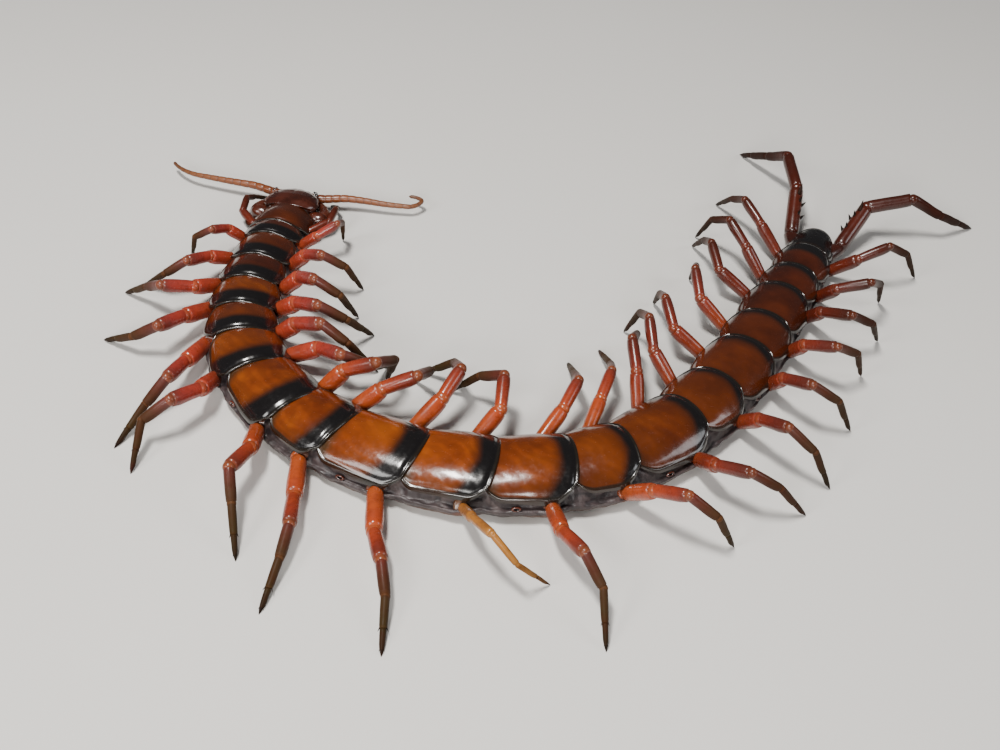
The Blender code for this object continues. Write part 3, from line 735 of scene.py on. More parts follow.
# Each leg's root swells the flank: how far, over how many segments, and at what heights
HIP_SWELL = 0.035
HIP_LENGTH = 0.22
HIP_HEIGHTS = (0.15, 0.09)
UNDER_PLATE = 0.055
UNDER_PLATE_SIDE = 0.44
END_START = 20.78
END_HEIGHT = 0.16
END_ROUNDING = 0.96

SKIN_STRETCH = (1.0, 1.0, 2.2)
FLANK_START = 0.03
FLANK_REACH = 0.06
# Shares of the width and of a segment that the brown round a leg's root takes up
ROOT_BROWN = (0.13, 0.06)
ROOT_BROWN_LENGTH = 0.13
LOW_START = 0.15
LOW_REACH = 0.09
FOLDS_IN_SEGMENT = 15
FOLD_HEIGHT = 0.13 * MM
COARSE_SIZE = 2.6 * MM
FINE_SIZE = 0.75 * MM
SKIN_LIFT = 0.14 * MM
FINE_LIFT = 0.11 * MM
CREASE_DEPTH = 0.46 * MM
SEAM_DEPTH = 0.18 * MM
SEAMS = ((1.0, 0.125), (0.7, 0.205))
SEAM_REACH = 0.014
SKIN_BOTTOM = 0.05 * MM


def outline_of_skin():
    """The skin's cross-section all the way round, from the belly's middle and back to it."""
    half = np.array(SKIN_OUTLINE)
    closed = np.vstack([half, half[-2:0:-1] * (-1, 1), half[:1]])
    return smooth_line(closed, np.linspace(0, len(closed) - 1, SKIN_COLUMNS, endpoint=False))


def from_root(positions):
    """How far places down the trunk lie from the nearest leg's root, in segments."""
    roots = np.array([leg_place(number) for number in range(1, SEGMENTS + 1)])
    return np.abs(positions[:, None] - roots[None, :]).min(axis=1)


def slimness(positions):
    """The skin stands out beside the plates in the bend, and stays under them elsewhere."""
    return np.interp(positions, SLIM_PLACES, SLIM_SHARES)


def skin_grid(positions, outline):
    """The skin before its wrinkles, and the share of the segment at each point."""
    inside = np.clip(positions - np.floor(np.clip(positions, 0, SEGMENTS - 1e-6)), 0, 1)
    pinch = 1 - PINCH * bell(np.minimum(inside, 1 - inside), 0, JOINT_REACH)
    neck = NECK_WIDTH + (1 - NECK_WIDTH) * smooth_step(positions / NECK_LENGTH)
    tail = 1 - TAIL_NARROWING * smooth_step((positions - TAIL_START) / TAIL_LENGTH)
    width = width_at(positions)
    side = outline[None, :, 0] * (width * pinch * neck * tail * slimness(positions))[:, None]
    width = width[:, None]
    height = outline[None, :, 1] * width
    hip = bell(from_root(positions), 0, HIP_LENGTH)[:, None] * bell(outline[None, :, 1], *HIP_HEIGHTS)
    side = side + np.sign(outline[None, :, 0]) * hip * HIP_SWELL * width
    number = (positions + 0.5)[:, None]
    lowest = along_trunk(number, LOWEST_OF_PLATES)
    crown = (PLATE_TOP - lowest) * crown_of(number, np.abs(side) / (UNDER_PLATE_SIDE * width))
    height = np.minimum(height, (lowest + crown - UNDER_PLATE) * width)
    end = np.clip((positions - END_START) / (SEGMENTS - END_START), 0, 1)
    closing = np.sqrt(1 - END_ROUNDING * end**2)[:, None]
    height = height * closing + END_HEIGHT * width * (1 - closing)
    places = positions[:, None] * np.ones_like(side)
    return trunk_points(places, side * closing, height), inside[:, None] * np.ones_like(side)


def build_skin():
    outline = outline_of_skin()
    positions = np.linspace(0.0, SEGMENTS, SEGMENTS * SKIN_ROWS_IN_SEGMENT)
    points, inside = skin_grid(positions, outline)
    normal = -normals_of(points)
    between = bell(np.minimum(inside, 1 - inside), 0, JOINT_REACH)
    folds = np.cos(inside * 2 * math.pi * FOLDS_IN_SEGMENT) * between
    coarse = noise_field(points * SKIN_STRETCH, COARSE_SIZE)
    fine = noise_field(points + 0.01, FINE_SIZE)
    upper = outline[None, :, 1] * np.ones_like(inside)
    flank = smooth_step((upper - FLANK_START) / FLANK_REACH)
    seam = sum(share * bell(upper, height, SEAM_REACH) for share, height in SEAMS)
    creases = -np.abs(coarse) * CREASE_DEPTH - seam * SEAM_DEPTH * (0.6 + coarse)
    lift = (folds * FOLD_HEIGHT + creases + SKIN_LIFT + fine * FINE_LIFT) * flank
    points = points + normal * lift[..., None]
    points[..., 2] = np.maximum(points[..., 2], SKIN_BOTTOM)
    hard = bell(from_root(positions)[:, None], 0, ROOT_BROWN_LENGTH) * bell(upper, *ROOT_BROWN)
    # Painted shade: the skin is marked for darkening where its folds dip and its creases run deep
    hollow = between * smooth_step(-folds * FOLD_HEIGHT / MM / 0.10)
    fold = np.maximum(hollow, 0.8 * smooth_step((np.abs(coarse) - 0.30) / 0.3)) * flank
    low = smooth_step((LOW_START - upper) / LOW_REACH)
    surface = Surface().grid(points, wrap=True, caps=True, hard=hard, fold=fold, low=low)
    skin = smoothed(surface.make("soft_skin", MATERIALS["skin"]))
    dress(skin, "shell", *(f"trunk_{first:02d}_{last:02d}" for first, last in LENGTHS_OF_TRUNK))


# Where each belly plate starts and ends in its segment
BELLY_START = 0.06
BELLY_END = 0.95
BELLY_LENGTH = BELLY_END - BELLY_START
BELLY_HALF_WIDTH = 0.33
BELLY_THICKNESS = 0.25 * MM


def build_belly_plates():
    surface = Surface()
    share = np.linspace(BELLY_START, BELLY_END, 14)[:, None]
    side = np.linspace(-1, 1, 17)[None, :] * np.ones_like(share)
    end = np.abs(2 * (share - BELLY_START) / BELLY_LENGTH - 1)
    for number in range(1, SEGMENTS + 1):
        width = width_at(number - 1 + share)
        groove = bell(np.abs(side), 0.42, 0.06) * 0.10 * MM
        heights = 0.02 * MM + 0.05 * width * np.abs(side) ** 6 + groove + 0.25 * MM * end**8
        aside = side * BELLY_HALF_WIDTH * width * (1 - 0.22 * end**4)
        points = trunk_points((number - 1 + share) * np.ones_like(side), aside, heights)
        surface.grid(points[:, ::-1], reach=0.0)
    dress(thicken(surface.make("belly_plates", MATERIALS["belly"]), BELLY_THICKNESS), "shell")


SPIRACLE_SEGMENTS = (3, 5, 8, 10, 12, 14, 16, 18, 20)
SPIRACLE_PLACE = 0.62
SPIRACLE_SIDE = 0.492
SPIRACLE_HEIGHT = 0.215
SPIRACLE_SIZE = (0.72 * MM, 0.34 * MM)
# Size, lift in mm and painted-shade darkness of each ring of points, from the flank over the rim into the
# slot
SPIRACLE_RINGS = (
    (1.0, -0.15, 0.0), (0.95, 0.06, 0.0), (0.70, 0.12, 0.4), (0.50, 0.02, 1.0), (0.35, -0.25, 1.0)
)


def build_spiracles():
    """Breathing slits above the legs of the larger segments, each a raised ring round a painted-shade slot.
    """
    surface = Surface()
    turns = turns_of(24)
    # Painted shade: the rings that sink into each slot turn near-black, standing in for the dark of the
    # opening
    dark = np.array([shade for _, _, shade in SPIRACLE_RINGS])[:, None]
    for number in SPIRACLE_SEGMENTS:
        place = number - SPIRACLE_PLACE
        stand = Stand(place)
        width = width_at(place)
        across = np.array(stand.along)
        for side in (1, -1):
            aside = side * SPIRACLE_SIDE * slimness(place) * width
            centre = np.array(stand.point(0, aside, SPIRACLE_HEIGHT * width))
            out = np.array(stand.left * side * 0.93 + stand.up * 0.37)
            oval = (
                across * (np.cos(turns) * SPIRACLE_SIZE[0])[:, None]
                + np.cross(out, across) * (np.sin(turns) * SPIRACLE_SIZE[1])[:, None]
            )
            rows = [centre + oval * size + out * lift * MM for size, lift, _ in SPIRACLE_RINGS]
            surface.grid(np.array(rows), wrap=True, reach=dark)
    dress(surface.make("spiracles", MATERIALS["claw"]), "shell")


# The legs

# Each podomere: its start and end on the leg's four runs, and its radii at base, belly and tip
LEG_PIECES = (
    (0.00, 1.00, 0.93, 1.03, 0.88), (1.00, 2.00, 0.80, 0.87, 0.73), (2.00, 3.00, 0.64, 0.62, 0.52),
    (3.00, 3.56, 0.48, 0.45, 0.38), (3.56, 3.90, 0.35, 0.31, 0.19)
)
# The tail legs' radii at a podomere's base, belly, belly of the foot and end, as shares of the other legs'
LAST_BASE, LAST_BELLY, LAST_FOOT_BELLY, LAST_TIP = 1.08, 0.97, 1.12, 1.10
JOINT_BALLS = ((1.0, 0.80), (2.0, 0.64), (3.0, 0.47))
PODOMERE_ROWS = 18
PODOMERE_SIDES = 28
PODOMERE_PLACES = (0, 0.10, 0.72, 0.93, 1.0)
PODOMERE_SQUASH = 0.90
PODOMERE_OVERLAP = 0.16
PODOMERE_SAG = 0.05
HIP_SHARE = 0.05
SHOWN_ROOT_SIDE = 0.46
SHOWN_ROOT_HEIGHT = 0.185
HIP_DEPTH = 0.34
LAST_HIP_DEPTH = 0.30
HIP_HEIGHT = 0.165
HIP_PLACES = (0, 0.45, 0.70, 0.86, 0.94, 1.0)
HIP_RADII = (1.14, 1.10, 1.04, 0.99, 0.94, 0.76)
REGROWN_LEG = (11, 1)
REGROWN_GIRTH = 0.62
LEG_LOOKS = (
    (1, "rear_leg"), (7, "leg"), (13, "middle_leg"), (17, "dusky_leg"), (20, "rear_leg"), (21, "tail_leg")
)
CLAW_START = 3.86
SPUR_PLACE = 3.52
# Lengths and radii of the spurs on the foot, the small spurs beside its claw, and the tail legs' spines
SPUR = (0.62 * MM, 0.10 * MM)
CLAW_SPUR = (0.42 * MM, 0.07 * MM)
THIGH_SPINE = (1.15 * MM, 0.30 * MM)
CORNER_SPINE = (2.1 * MM, 0.44 * MM)
# Places on the thigh and tilts from its inner side
THIGH_SPINES = ((0.35, 0.2), (0.62, 0.2), (0.40, 0.9), (0.68, 0.9))


def leg_place(number):
    """Where a leg's root stands on the trunk's line, counted in segments from the head."""
    if number == SEGMENTS:
        return float(SEGMENTS)
    return number - 1 + (LATE_LEG_PLACE if number in LATE_LEGS else LEG_PLACE)


def leg_radius(number):
    """The walking legs grow towards the fifth, and are leaner in the rear half than in front."""
    if number == SEGMENTS:
        return LAST_LEG_RADIUS
    leanness = float(np.interp(number, *LEANNESS))
    return LEG_RADIUS * FRONT_LEG_SHARES.get(number, 1.0) * leanness


def leg_joints(number, side):
    """A leg's joints from root to claw, and the directions of its four runs."""
    stand = Stand(leg_place(number))
    width = float(width_at(number - 0.5))
    outward = stand.left * side
    swing, knee, shin, foot, lift = (LEFT_POSES if side > 0 else RIGHT_POSES)[number - 1]
    share = FRONT_LEG_SHARES.get(number, 1.0)
    lengths = [length * share for length in (LAST_PODOMERES if number == SEGMENTS else PODOMERES)]
    turns = [swing, swing + knee, swing + knee + shin, swing + knee + shin + foot]
    rises = [math.radians(lift), math.radians(5 + 0.35 * lift)]
    root_side = LAST_ROOT_SIDE if number == SEGMENTS else ROOT_SIDE
    root_height = ROOT_CLEARANCE * LAST_LEG_RADIUS if number == SEGMENTS else ROOT_HEIGHT * width
    joints = [stand.point(0, side * root_side * width, root_height)]
    directions = []
    for index, (length, turn) in enumerate(zip(lengths, turns)):
        here = joints[-1]
        if index < 2:
            rise = rises[index]
        else:
            lowest = TARSUS_START if index == 2 else 0.0
            fall = length * math.sin(SHIN_FALL) if index == 2 else here.z
            drop = here.z - max(here.z - fall, lowest)
            rise = -math.asin(min(max(drop / length, -0.95), 0.95))
        flat = outward * math.cos(math.radians(turn)) + stand.along * math.sin(math.radians(turn))
        directions.append(flat * math.cos(rise) + stand.up * math.sin(rise))
        joints.append(here + directions[-1] * length)
    joints[-1].z = 0.0
    return joints, directions


def leg_route(joints):
    """The middle line of a leg, read at one place counted in its four runs."""
    points = np.array([np.array(joint) for joint in joints])

    def at(place):
        index = min(int(place), len(points) - 2)
        share = place - index
        return points[index] * (1 - share) + points[index + 1] * share

    return at


def tube_rings(centres, directions, radii, sides, squash=1.0, up=(0, 0, 1)):
    """Rings of points across a line, each from its upper side on; squash narrows them sideways."""
    turns = turns_of(sides)
    up = np.array(up, float)
    rings = []
    for centre, direction, radius in zip(centres, directions, radii):
        direction = unit(direction)
        top = unit(up - direction * np.dot(up, direction))
        across = np.cross(direction, top)
        ring = np.cos(turns)[:, None] * top + squash * np.sin(turns)[:, None] * across
        rings.append(centre + radius * ring)
    return np.array(rings)


def add_tube(surface, centres, radii, sides, up=(0, 0, 1), lowest=-1.0, **values):
    """A closed tube round a line of points, pressed flat where it would pass below the lowest height."""
    rings = tube_rings(centres, np.gradient(centres, axis=0), radii, sides, up=up)
    rings[..., 2] = np.maximum(rings[..., 2], lowest)
    surface.grid(rings, wrap=True, caps=True, **values)


def add_podomere(surface, start, end, radius, base, belly, tip, reach):
    """One section of a leg: narrow at its base, swollen towards its end and rounded over at both ends."""
    length = np.linalg.norm(end - start)
    direction = (end - start) / length
    share = np.linspace(0, 1, PODOMERE_ROWS)
    profile = np.interp(share, PODOMERE_PLACES, (base * 0.90, base, belly, (belly + tip) / 2, tip))
    profile = np.convolve(np.pad(profile, 1, mode="edge"), (0.25, 0.5, 0.25), mode="valid")
    cap = np.sqrt(np.clip(1 - np.clip((share - 0.95) / 0.05, 0, 1) ** 2, 0.02, 1))
    profile = profile * cap * np.sqrt(np.clip(share / 0.03, 0.25, 1))
    top = np.array((0, 0, 1.0)) - direction * direction[2]
    top = top / max(np.linalg.norm(top), 1e-9)
    sag = PODOMERE_SAG * bell(share, 0.74, 0.20) * radius
    centres = start + direction * (share * length)[:, None] - top * sag[:, None]
    rings = tube_rings(
        centres, [direction] * PODOMERE_ROWS, profile * radius, PODOMERE_SIDES, squash=PODOMERE_SQUASH
    )
    ring = bell(share, 0.975, 0.028) + 0.5 * bell(share, 0.02, 0.025)
    along = reach[0] + (reach[1] - reach[0]) * share
    surface.grid(rings, wrap=True, caps=True, reach=along[:, None], ring=np.clip(ring, 0, 1)[:, None])


def add_joint_ball(surface, centre, radius, reach):
    """The soft skin that shows between two podomeres."""
    turns = turns_of(18)
    rows = np.linspace(0.02, math.pi - 0.02, 10)
    points = np.array([
        [(math.sin(row) * math.cos(turn), math.sin(row) * math.sin(turn), math.cos(row)) for turn in turns]
        for row in rows
    ])
    surface.grid(np.array(centre) + points * radius, wrap=True, caps=True, reach=reach, ring=0.6)


def add_cone(surface, root, direction, length, radius, bend=(0, 0, 0), reach=1.0):
    """A tapering, slightly curved spine or claw."""
    share = np.linspace(0, 1, 8)
    direction = unit(np.array(direction, float))
    centres = np.array(root) + direction * (share * length)[:, None] + np.array(bend) * (share**2)[:, None]
    up = (0, 0, 1) if abs(direction[2]) < 0.9 else (1, 0, 0)
    radii = radius * (1 - share) ** 0.75 + 0.012 * MM
    add_tube(surface, centres, radii, 14, up=up, reach=reach, ring=0.0)


def add_hip(surface, number, side, root, first):
    """The hard ring of plates that carries the leg, rising out of the soft flank."""
    last = number == SEGMENTS
    stand = Stand(leg_place(number) - (LAST_HIP_LENGTH if last else 0))
    width = float(width_at(number - 0.5))
    depth = LAST_HIP_DEPTH if last else HIP_DEPTH
    inside = np.array(stand.point(0, side * depth * width, HIP_HEIGHT * width))
    root, first = np.array(root), np.array(first)
    outward = root - inside if last else np.array(stand.left * side)
    share = np.linspace(0, 1, 14)
    centres = inside * (1 - share)[:, None] + (root + first * 0.25 * MM) * share[:, None]
    slopes = outward * (1 - share)[:, None] + first * share[:, None]
    rings = tube_rings(centres, slopes, leg_radius(number) * np.interp(share, HIP_PLACES, HIP_RADII), 32)
    turns = turns_of(32)
    lobes = 0.05 * np.cos(turns * 3 + number) + 0.03 * np.cos(turns * 5 + 2 * number)
    middle = centres[:, None, :]
    rings = middle + (rings - middle) * (1 + lobes[None, :] * (1 - share)[:, None])[..., None]
    rings[..., 2] = np.maximum(rings[..., 2], 0.06 * MM)
    ring = 0.3 * bell(share, 0.80, 0.05)
    surface.grid(rings, wrap=True, caps=True, reach=(0.045 * share)[:, None], ring=ring[:, None])


def add_sections(surface, route, runs, girth, last):
    """A leg's podomeres and the soft balls between them."""
    def reach_at(place):
        return HIP_SHARE + (1 - HIP_SHARE) * place / runs

    for start, end, base, belly, tip in LEG_PIECES:
        if last:
            belly = belly * (LAST_BELLY if start < 3 else LAST_FOOT_BELLY)
            base = base * LAST_BASE
            tip = tip * LAST_TIP
        first, final = route(start), route(end)
        if start > 0:
            first = first - unit(final - first) * girth * PODOMERE_OVERLAP
        add_podomere(surface, first, final, girth, base, belly, tip, (reach_at(start), reach_at(end)))
    for place, size in JOINT_BALLS:
        add_joint_ball(surface, route(place), girth * size, reach_at(place))


def add_foot_claw(surface, route, tip, foot, girth, spurs):
    """The claw, with a pair of spurs beside it and another before it on all but the tail legs."""
    root = route(CLAW_START)
    claw = tip - root
    span = np.linalg.norm(claw)
    lift = np.array((0, 0, 0.10 * span))
    add_cone(surface, root, claw + lift, np.linalg.norm(claw + lift), girth * 0.22, bend=-lift)
    if not spurs:
        return
    aside = np.cross(foot, (0, 0, 1.0))
    for way in (aside, -aside):
        add_cone(surface, route(SPUR_PLACE) + way * girth * 0.30, foot + way * 0.5, *SPUR)
        add_cone(surface, root + way * girth * 0.14, claw / span + way * 0.45, *CLAW_SPUR)


def add_thigh_spines(surface, side, joints, thigh):
    """Four spines on the inner side of a tail leg's thigh and a longer one at its end."""
    inner = Stand(leg_place(SEGMENTS)).left * -side
    inward = (inner - thigh * inner.dot(thigh)).normalized()
    upward = thigh.cross(inward)
    if upward.z < 0:
        upward = -upward
    for share, tilt in THIGH_SPINES:
        out = (inward * math.cos(tilt) + upward * math.sin(tilt)).normalized()
        root = joints[0].lerp(joints[1], share) + out * LAST_LEG_RADIUS * 0.80
        add_cone(surface, root, out + thigh * 0.9, *THIGH_SPINE)
    out = (inward * 0.5 + upward).normalized()
    root = joints[0].lerp(joints[1], 0.82) + out * LAST_LEG_RADIUS * 0.75
    add_cone(surface, root, out * 0.6 + thigh, *CORNER_SPINE, reach=0.9)


def build_leg(number, side):
    """A leg whose shown root lies a little further in than the solid's, under the plate's edge."""
    joints, directions = leg_joints(number, side)
    last = number == SEGMENTS
    if not last:
        width = float(width_at(number - 0.5))
        stand = Stand(leg_place(number))
        joints[0] = stand.point(0, side * SHOWN_ROOT_SIDE * width, SHOWN_ROOT_HEIGHT * width)
        directions[0] = (joints[1] - joints[0]).normalized()
    regrown = (number, side) == REGROWN_LEG
    girth = leg_radius(number) * (REGROWN_GIRTH if regrown else 1.0)
    route = leg_route(joints)
    surface = Surface()
    add_hip(surface, number, side, joints[0], directions[0])
    add_sections(surface, route, len(joints) - 1, girth, last)
    add_foot_claw(surface, route, np.array(joints[-1]), np.array(directions[-1]), girth, spurs=not last)
    if last:
        add_thigh_spines(surface, side, joints, directions[0])
    look = "regrown_leg" if regrown else next(name for until, name in LEG_LOOKS if number <= until)
    label = f"{sided('leg', side)}_{number:02d}"
    thing = surface.make(label + "_dressed", MATERIALS[look])
    dress(thing, "tail_leg" if last else "leg", label)


# The head and what it carries

HEAD_START = -0.55 * MM
HEAD_LENGTH = 7.45 * MM
HEAD_HALF_WIDTH = 5.16 * MM
HEAD_THICKNESS = 0.30 * MM
REAR_CORNER = 0.9 * MM
FRONT_CORNER = 0.5 * MM
FRONT_DENT = 0.16 * MM
FURROW_DEPTH = 0.10 * MM
HEAD_RIM = 0.05 * MM
# Down the head: its half width as a share, then its heights in mm in the middle and at the sides
HEAD_SPREAD = ((0, 0.12, 0.35, 0.60, 0.80, 0.92, 1.0), (0.86, 0.96, 1.0, 0.93, 0.74, 0.50, 0.24))
HEAD_TOP = ((0, 0.2, 0.45, 0.7, 0.9, 1.0), (5.0, 5.3, 5.2, 4.75, 4.1, 3.65))
HEAD_SIDE = ((0, 0.3, 0.7, 1.0), (3.3, 3.4, 3.2, 3.05))
# Sections of the head under its plate in mm: forward, half width, bottom and top
HEAD_SECTIONS = (
    (0.0, 3.5, 0.6, 4.5), (1.1, 4.4, 0.7, 4.7), (2.8, 4.7, 1.1, 4.75),
    (4.4, 4.2, 1.5, 4.4), (5.8, 3.1, 1.8, 3.9), (6.9, 1.6, 2.2, 3.3)
)
CHIN_SPREAD = ((0, 0.3, 0.75, 1.0), (2.9, 3.0, 2.0, 1.4))
CHIN_START = -0.4 * MM
CHIN_LENGTH = 4.6 * MM
CHIN_NOTCH = 0.5 * MM
CHIN_THICKNESS = 0.3 * MM
# The teeth on each side of the notch: how far aside in mm, and their length and radius
CHIN_TEETH = (0.35, 0.65, 0.95, 1.25)
CHIN_TOOTH = (0.42 * MM, 0.16 * MM)
# Points of a mouth limb's middle line in mm: aside, forward and up
MOUTH_ROUTE = ((1.6, 3.6, 1.9), (2.3, 4.9, 1.7), (1.5, 6.1, 1.5), (0.35, 6.2, 1.5))
MOUTH_RADII = ((0, 0.6, 1), (0.62, 0.50, 0.22))
CLAW_ROWS = 84
CLAW_JOINTS = (0.36, 0.60, 0.68)
CLAW_BOTTOM = 0.08 * MM
CLAW_TOOTH = (0.7 * MM, 0.35 * MM)
TOOTH_ROWS = (24, 30)
# Places of the four small eyes in mm, forward and up, and how deep they sit in the solid's eye
OCELLI = ((-0.62, -0.16), (0.02, 0.30), (0.60, 0.06), (0.06, -0.36))
OCELLI_SINK = 0.42
OCELLUS_RADIUS = 0.30 * MM
OCELLUS_HEIGHT = 0.24 * MM
FEELER_ROWS_IN_ARTICLE = 9
FEELER_SIDES = 24
WAIST_REACH = 0.09
# How far a feeler's base is drawn back and down, and over how many articles that fades
FEELER_SHIFT = (1.2 * MM, 0.45 * MM)
SHIFTED_ARTICLES = 5.0
SOCKET_GIRTH = 1.15


def head_points(forward, left, up):
    """Points of the head from arrays of forward, left and up."""
    points = np.array(HEAD.origin) - np.array(HEAD.along) * forward[..., None]
    points = points + np.array(HEAD.left) * left[..., None]
    points[..., 2] = up
    return points


def build_head_plate():
    share = np.linspace(0, 1, 40)[:, None]
    side = np.sin(np.linspace(-math.pi / 2, math.pi / 2, 56))[None, :] * np.ones_like(share)
    edge = np.abs(side)
    forward = HEAD_START + HEAD_LENGTH * share + REAR_CORNER * (1 - smooth_step(share / 0.4)) * edge**3
    forward = forward - FRONT_CORNER * smooth_step((share - 0.7) / 0.3) * edge**2
    forward = forward - FRONT_DENT * smooth_step((share - 0.9) / 0.1) * (1 - edge) ** 2
    top = np.interp(share, *HEAD_TOP) * MM
    low = np.interp(share, *HEAD_SIDE) * MM
    furrow = FURROW_DEPTH * bell(side, 0, 0.05) * smooth_step((share - 0.45) / 0.3)
    height = low + (top - low) * (1 - edge**2.5) ** 0.6 - furrow + HEAD_RIM * bell(edge, 1, 0.02)
    points = head_points(forward, HEAD_HALF_WIDTH * np.interp(share, *HEAD_SPREAD) * side, height)
    surface = Surface().grid(points[:, ::-1], reach=0.0, ring=0.5 * bell(edge, 1, 0.015))
    dress(thicken(surface.make("head_plate", MATERIALS["head"]), HEAD_THICKNESS), "head")


def build_head_under():
    sections = smooth_line(np.array(HEAD_SECTIONS) * MM, np.linspace(0, len(HEAD_SECTIONS) - 1, 30))
    forward, half, bottom, top = (sections[:, column, None] for column in range(4))
    cosine, sine = np.cos(turns_of(48))[None, :], np.sin(turns_of(48))[None, :]
    left = half * np.sign(cosine) * np.abs(cosine) ** 0.8
    up = (bottom + top) / 2 + (top - bottom) / 2 * np.sign(sine) * np.abs(sine) ** 0.8
    surface = Surface().grid(
        head_points(forward * np.ones_like(left), left, up), wrap=True, caps=True, reach=0.0, ring=0.0
    )
    dress(surface.make("head_under", MATERIALS["head"]), "head", "head")


def build_chin():
    """The plate that carries the claws, with its two toothed lobes in front."""
    surface = Surface()
    share = np.linspace(0, 1, 24)[:, None]
    side = np.linspace(-1, 1, 25)[None, :] * np.ones_like(share)
    notch = CHIN_NOTCH * bell(side, 0, 0.12) * smooth_step((share - 0.7) / 0.3)
    forward = CHIN_START + CHIN_LENGTH * share - notch
    height = 0.35 * MM + 0.9 * MM * np.abs(side) ** 4 + 0.25 * MM * share
    spread = np.interp(share, *CHIN_SPREAD) * MM
    surface.grid(head_points(forward, spread * side, height), reach=0.0, ring=0.0)
    for way in (1, -1):
        for aside in CHIN_TEETH:
            root = HEAD.point(-4.1 * MM, way * aside * MM, 0.62 * MM)
            add_cone(surface, root, -HEAD.along, *CHIN_TOOTH)
    dress(thicken(surface.make("chin_plate", MATERIALS["claw"]), CHIN_THICKNESS), "claw")


def build_mouth():
    """The feeding limbs under the front of the head."""
    surface = Surface()
    line = smooth_line(np.array(MOUTH_ROUTE) * MM, np.linspace(0, len(MOUTH_ROUTE) - 1, 24))
    radii = np.interp(np.linspace(0, 1, 24), *MOUTH_RADII) * MM
    for way in (1, -1):
        centres = head_points(line[:, 1], line[:, 0] * way, line[:, 2])
        add_tube(surface, centres, radii, 20, reach=0.0, ring=0.0)
    dress(surface.make("mouth_limbs", MATERIALS["claw"]), "claw")


def build_claw(side):
    """A poison claw: a stout base, grooves at its joints, a tooth on its inner side and a sharp tip."""
    share = np.linspace(0, 1, CLAW_ROWS)
    line = smooth_line(np.array(CLAW_ROUTE) * MM, share * (len(CLAW_ROUTE) - 1))
    centres = head_points(line[:, 1], line[:, 0] * side, line[:, 2])
    groove = np.max([bell(share, joint, 0.012) for joint in CLAW_JOINTS], axis=0)
    radii = line[:, 3] * (1 - 0.10 * groove) * np.sqrt(np.clip(share / 0.02, 0.3, 1))
    radii = radii * np.clip((1.004 - share) / 0.05, 0.05, 1) ** 0.6
    surface = Surface()
    add_tube(surface, centres, radii, 36, lowest=CLAW_BOTTOM, reach=share[:, None], ring=groove[:, None])
    inward = np.array(HEAD.left) * -side
    tooth = sum(centres[row] for row in TOOTH_ROWS) / 2 + inward * 0.9 * MM
    add_cone(surface, tooth, inward - np.array(HEAD.along), *CLAW_TOOTH)
    name = sided("forcipule", side)
    dress(surface.make(name + "_dressed", MATERIALS["claw"]), "claw", name)


def feeler_line(side):
    """The borders of a feeler's articles."""
    table, article = (LEFT_FEELER, LEFT_ARTICLE) if side > 0 else (RIGHT_FEELER, RIGHT_ARTICLE)
    places, turns, rises = np.array(table, float).T
    points = [np.array(HEAD.point(-FEELER_BASE.y, side * FEELER_BASE.x, FEELER_BASE.z))]
    for number in range(FEELER_ARTICLES):
        turn = math.radians(float(np.interp(number, places, turns)))
        rise = math.radians(float(np.interp(number, places, rises)))
        flat = HEAD.along * -math.cos(turn) + HEAD.left * side * math.sin(turn)
        points.append(points[-1] + np.array(flat * math.cos(rise) + HEAD.up * math.sin(rise)) * article)
    return np.array(points)


def build_feeler(side):
    """Seventeen rings, each narrow at its base, on a smooth curve whose base is drawn back to the head."""
    points = feeler_line(side)
    places = np.linspace(0, FEELER_ARTICLES, FEELER_ARTICLES * FEELER_ROWS_IN_ARTICLE + 1)
    shift = np.array(HEAD.along) * FEELER_SHIFT[0] - np.array((0, 0, FEELER_SHIFT[1]))
    centres = smooth_line(points, places) + shift * (1 - smooth_step(places / SHIFTED_ARTICLES))[:, None]
    inside = places - np.floor(places)
    ring = bell(np.minimum(inside, 1 - inside), 0, WAIST_REACH)
    waist = 1 - 0.075 * ring + 0.03 * np.sin(math.pi * inside)
    share = places / FEELER_ARTICLES
    radii = (FEELER_RADIUS * (1 - share) + FEELER_TIP_RADIUS * share) * waist
    radii = radii * np.sqrt(np.clip((1.0 - share) / 0.02, 0.03, 1))
    surface = Surface()
    add_tube(surface, centres, radii, FEELER_SIDES, reach=share[:, None], ring=ring[:, None])
    socket = centres[0] + (points[0] - points[1]) * 0.4
    add_joint_ball(surface, socket, FEELER_RADIUS * SOCKET_GIRTH, 0.0)
    name = sided("antenna", side)
    dress(surface.make(name + "_dressed", MATERIALS["feeler"]), "feeler", name)


def build_eye(side):
    """Four small eyes on the side of the head, in front."""
    name = sided("eye", side)
    low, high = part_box(name)
    out = np.array((HEAD.left * side * 0.70 + HEAD.up * 0.66 - HEAD.along * 0.30).normalized())
    centre = np.array((low + high) / 2) - out * OCELLI_SINK * MM
    ahead = np.array(-HEAD.along)
    ahead = unit(ahead - out * np.dot(ahead, out))
    above = np.cross(out, ahead)
    turns = turns_of(24)
    circle = ahead * np.cos(turns)[:, None] + above * np.sin(turns)[:, None]
    rows = np.linspace(0.0, math.pi / 2, 9)
    dome = np.array([
        circle * OCELLUS_RADIUS * math.cos(row) + out * OCELLUS_HEIGHT * math.sin(row) for row in rows
    ])
    surface = Surface()
    for forward, aside in OCELLI:
        spot = centre + ahead * forward * MM + above * aside * side * MM
        surface.grid(spot + dome, wrap=True, caps=True)
    dress(surface.make(name + "_dressed", MATERIALS["eye"]), "eye", name)


# The room

FLOOR_REACH = 1.5
CAMERA_PLACE = Vector((-11.87, -139.95, 117.25)) * MM
CAMERA_PITCH = math.radians(42)
CAMERA_ROLL = math.radians(3)
FOCAL_PIXELS = 1095
PHOTO_WIDTH = 1000
SENSOR = 36.0
CLIP_START = 0.005
SKY_COLOUR = (0.96, 0.97, 1.0, 1)
SKY_STRENGTH = 0.08
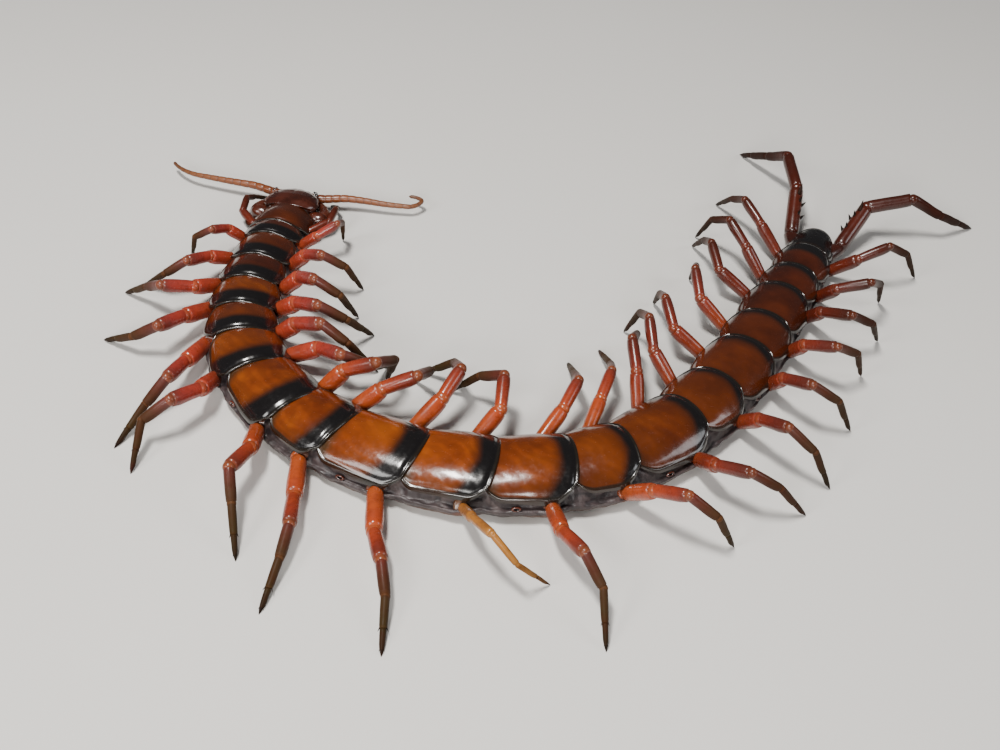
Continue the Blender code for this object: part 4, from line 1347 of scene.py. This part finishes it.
# Each light: its name, place, two sizes, power and colour
LIGHTS = (
    ("key", (-0.100, -0.05, 0.38), (0.10, 0.05), 2.1, (1.0, 0.975, 0.94)),
    ("front_box", (-0.06, -0.42, 0.20), (0.20, 0.10), 1.6, (1.0, 0.98, 0.95)),
    ("left_box", (-0.34, -0.26, 0.30), (0.16, 0.16), 1.0, (1.0, 0.98, 0.96)),
    ("right_box", (0.40, -0.10, 0.24), (0.18, 0.18), 0.5, (0.95, 0.97, 1.0)),
)


def build_floor():
    places = np.linspace(-FLOOR_REACH, FLOOR_REACH, 5)
    points = np.stack(np.meshgrid(places, places, [0.0], indexing="ij"), axis=-1)[:, :, 0]
    Surface().grid(points).make("studio_floor", floor_material(), smooth=False)


def build_camera():
    data = bpy.data.cameras.new("camera")
    data.sensor_width = SENSOR
    data.lens = FOCAL_PIXELS / PHOTO_WIDTH * SENSOR
    data.clip_start = CLIP_START
    camera = bpy.data.objects.new("camera", data)
    bpy.context.scene.collection.objects.link(camera)
    right = Vector((1, 0, 0))
    up = Vector((0, math.sin(CAMERA_PITCH), math.cos(CAMERA_PITCH)))
    turned_right = right * math.cos(CAMERA_ROLL) + up * math.sin(CAMERA_ROLL)
    turned_up = up * math.cos(CAMERA_ROLL) - right * math.sin(CAMERA_ROLL)
    back = turned_right.cross(turned_up)
    matrix = Matrix((turned_right, turned_up, back)).transposed().to_4x4()
    matrix.translation = CAMERA_PLACE
    camera.matrix_world = matrix
    bpy.context.scene.camera = camera


def build_light():
    world = bpy.data.worlds.new("studio")
    bpy.context.scene.world = world
    world.use_nodes = True
    sky = world.node_tree.nodes["Background"]
    sky.inputs["Color"].default_value = SKY_COLOUR
    sky.inputs["Strength"].default_value = SKY_STRENGTH
    for name, place, size, power, colour in LIGHTS:
        data = bpy.data.lights.new(name, "AREA")
        data.shape = "RECTANGLE"
        data.size, data.size_y = size
        data.energy = power
        data.color = colour
        light = bpy.data.objects.new(name, data)
        bpy.context.scene.collection.objects.link(light)
        light.location = place
        light.rotation_euler = (-Vector(place)).to_track_quat("-Z", "Y").to_euler()


def main():
    build_plates()
    build_skin()
    build_belly_plates()
    build_spiracles()
    build_head_plate()
    build_head_under()
    build_chin()
    build_mouth()
    for side in (1, -1):
        build_claw(side)
        build_feeler(side)
        build_eye(side)
        for number in range(1, SEGMENTS + 1):
            build_leg(number, side)
    build_floor()
    build_camera()
    build_light()


main()
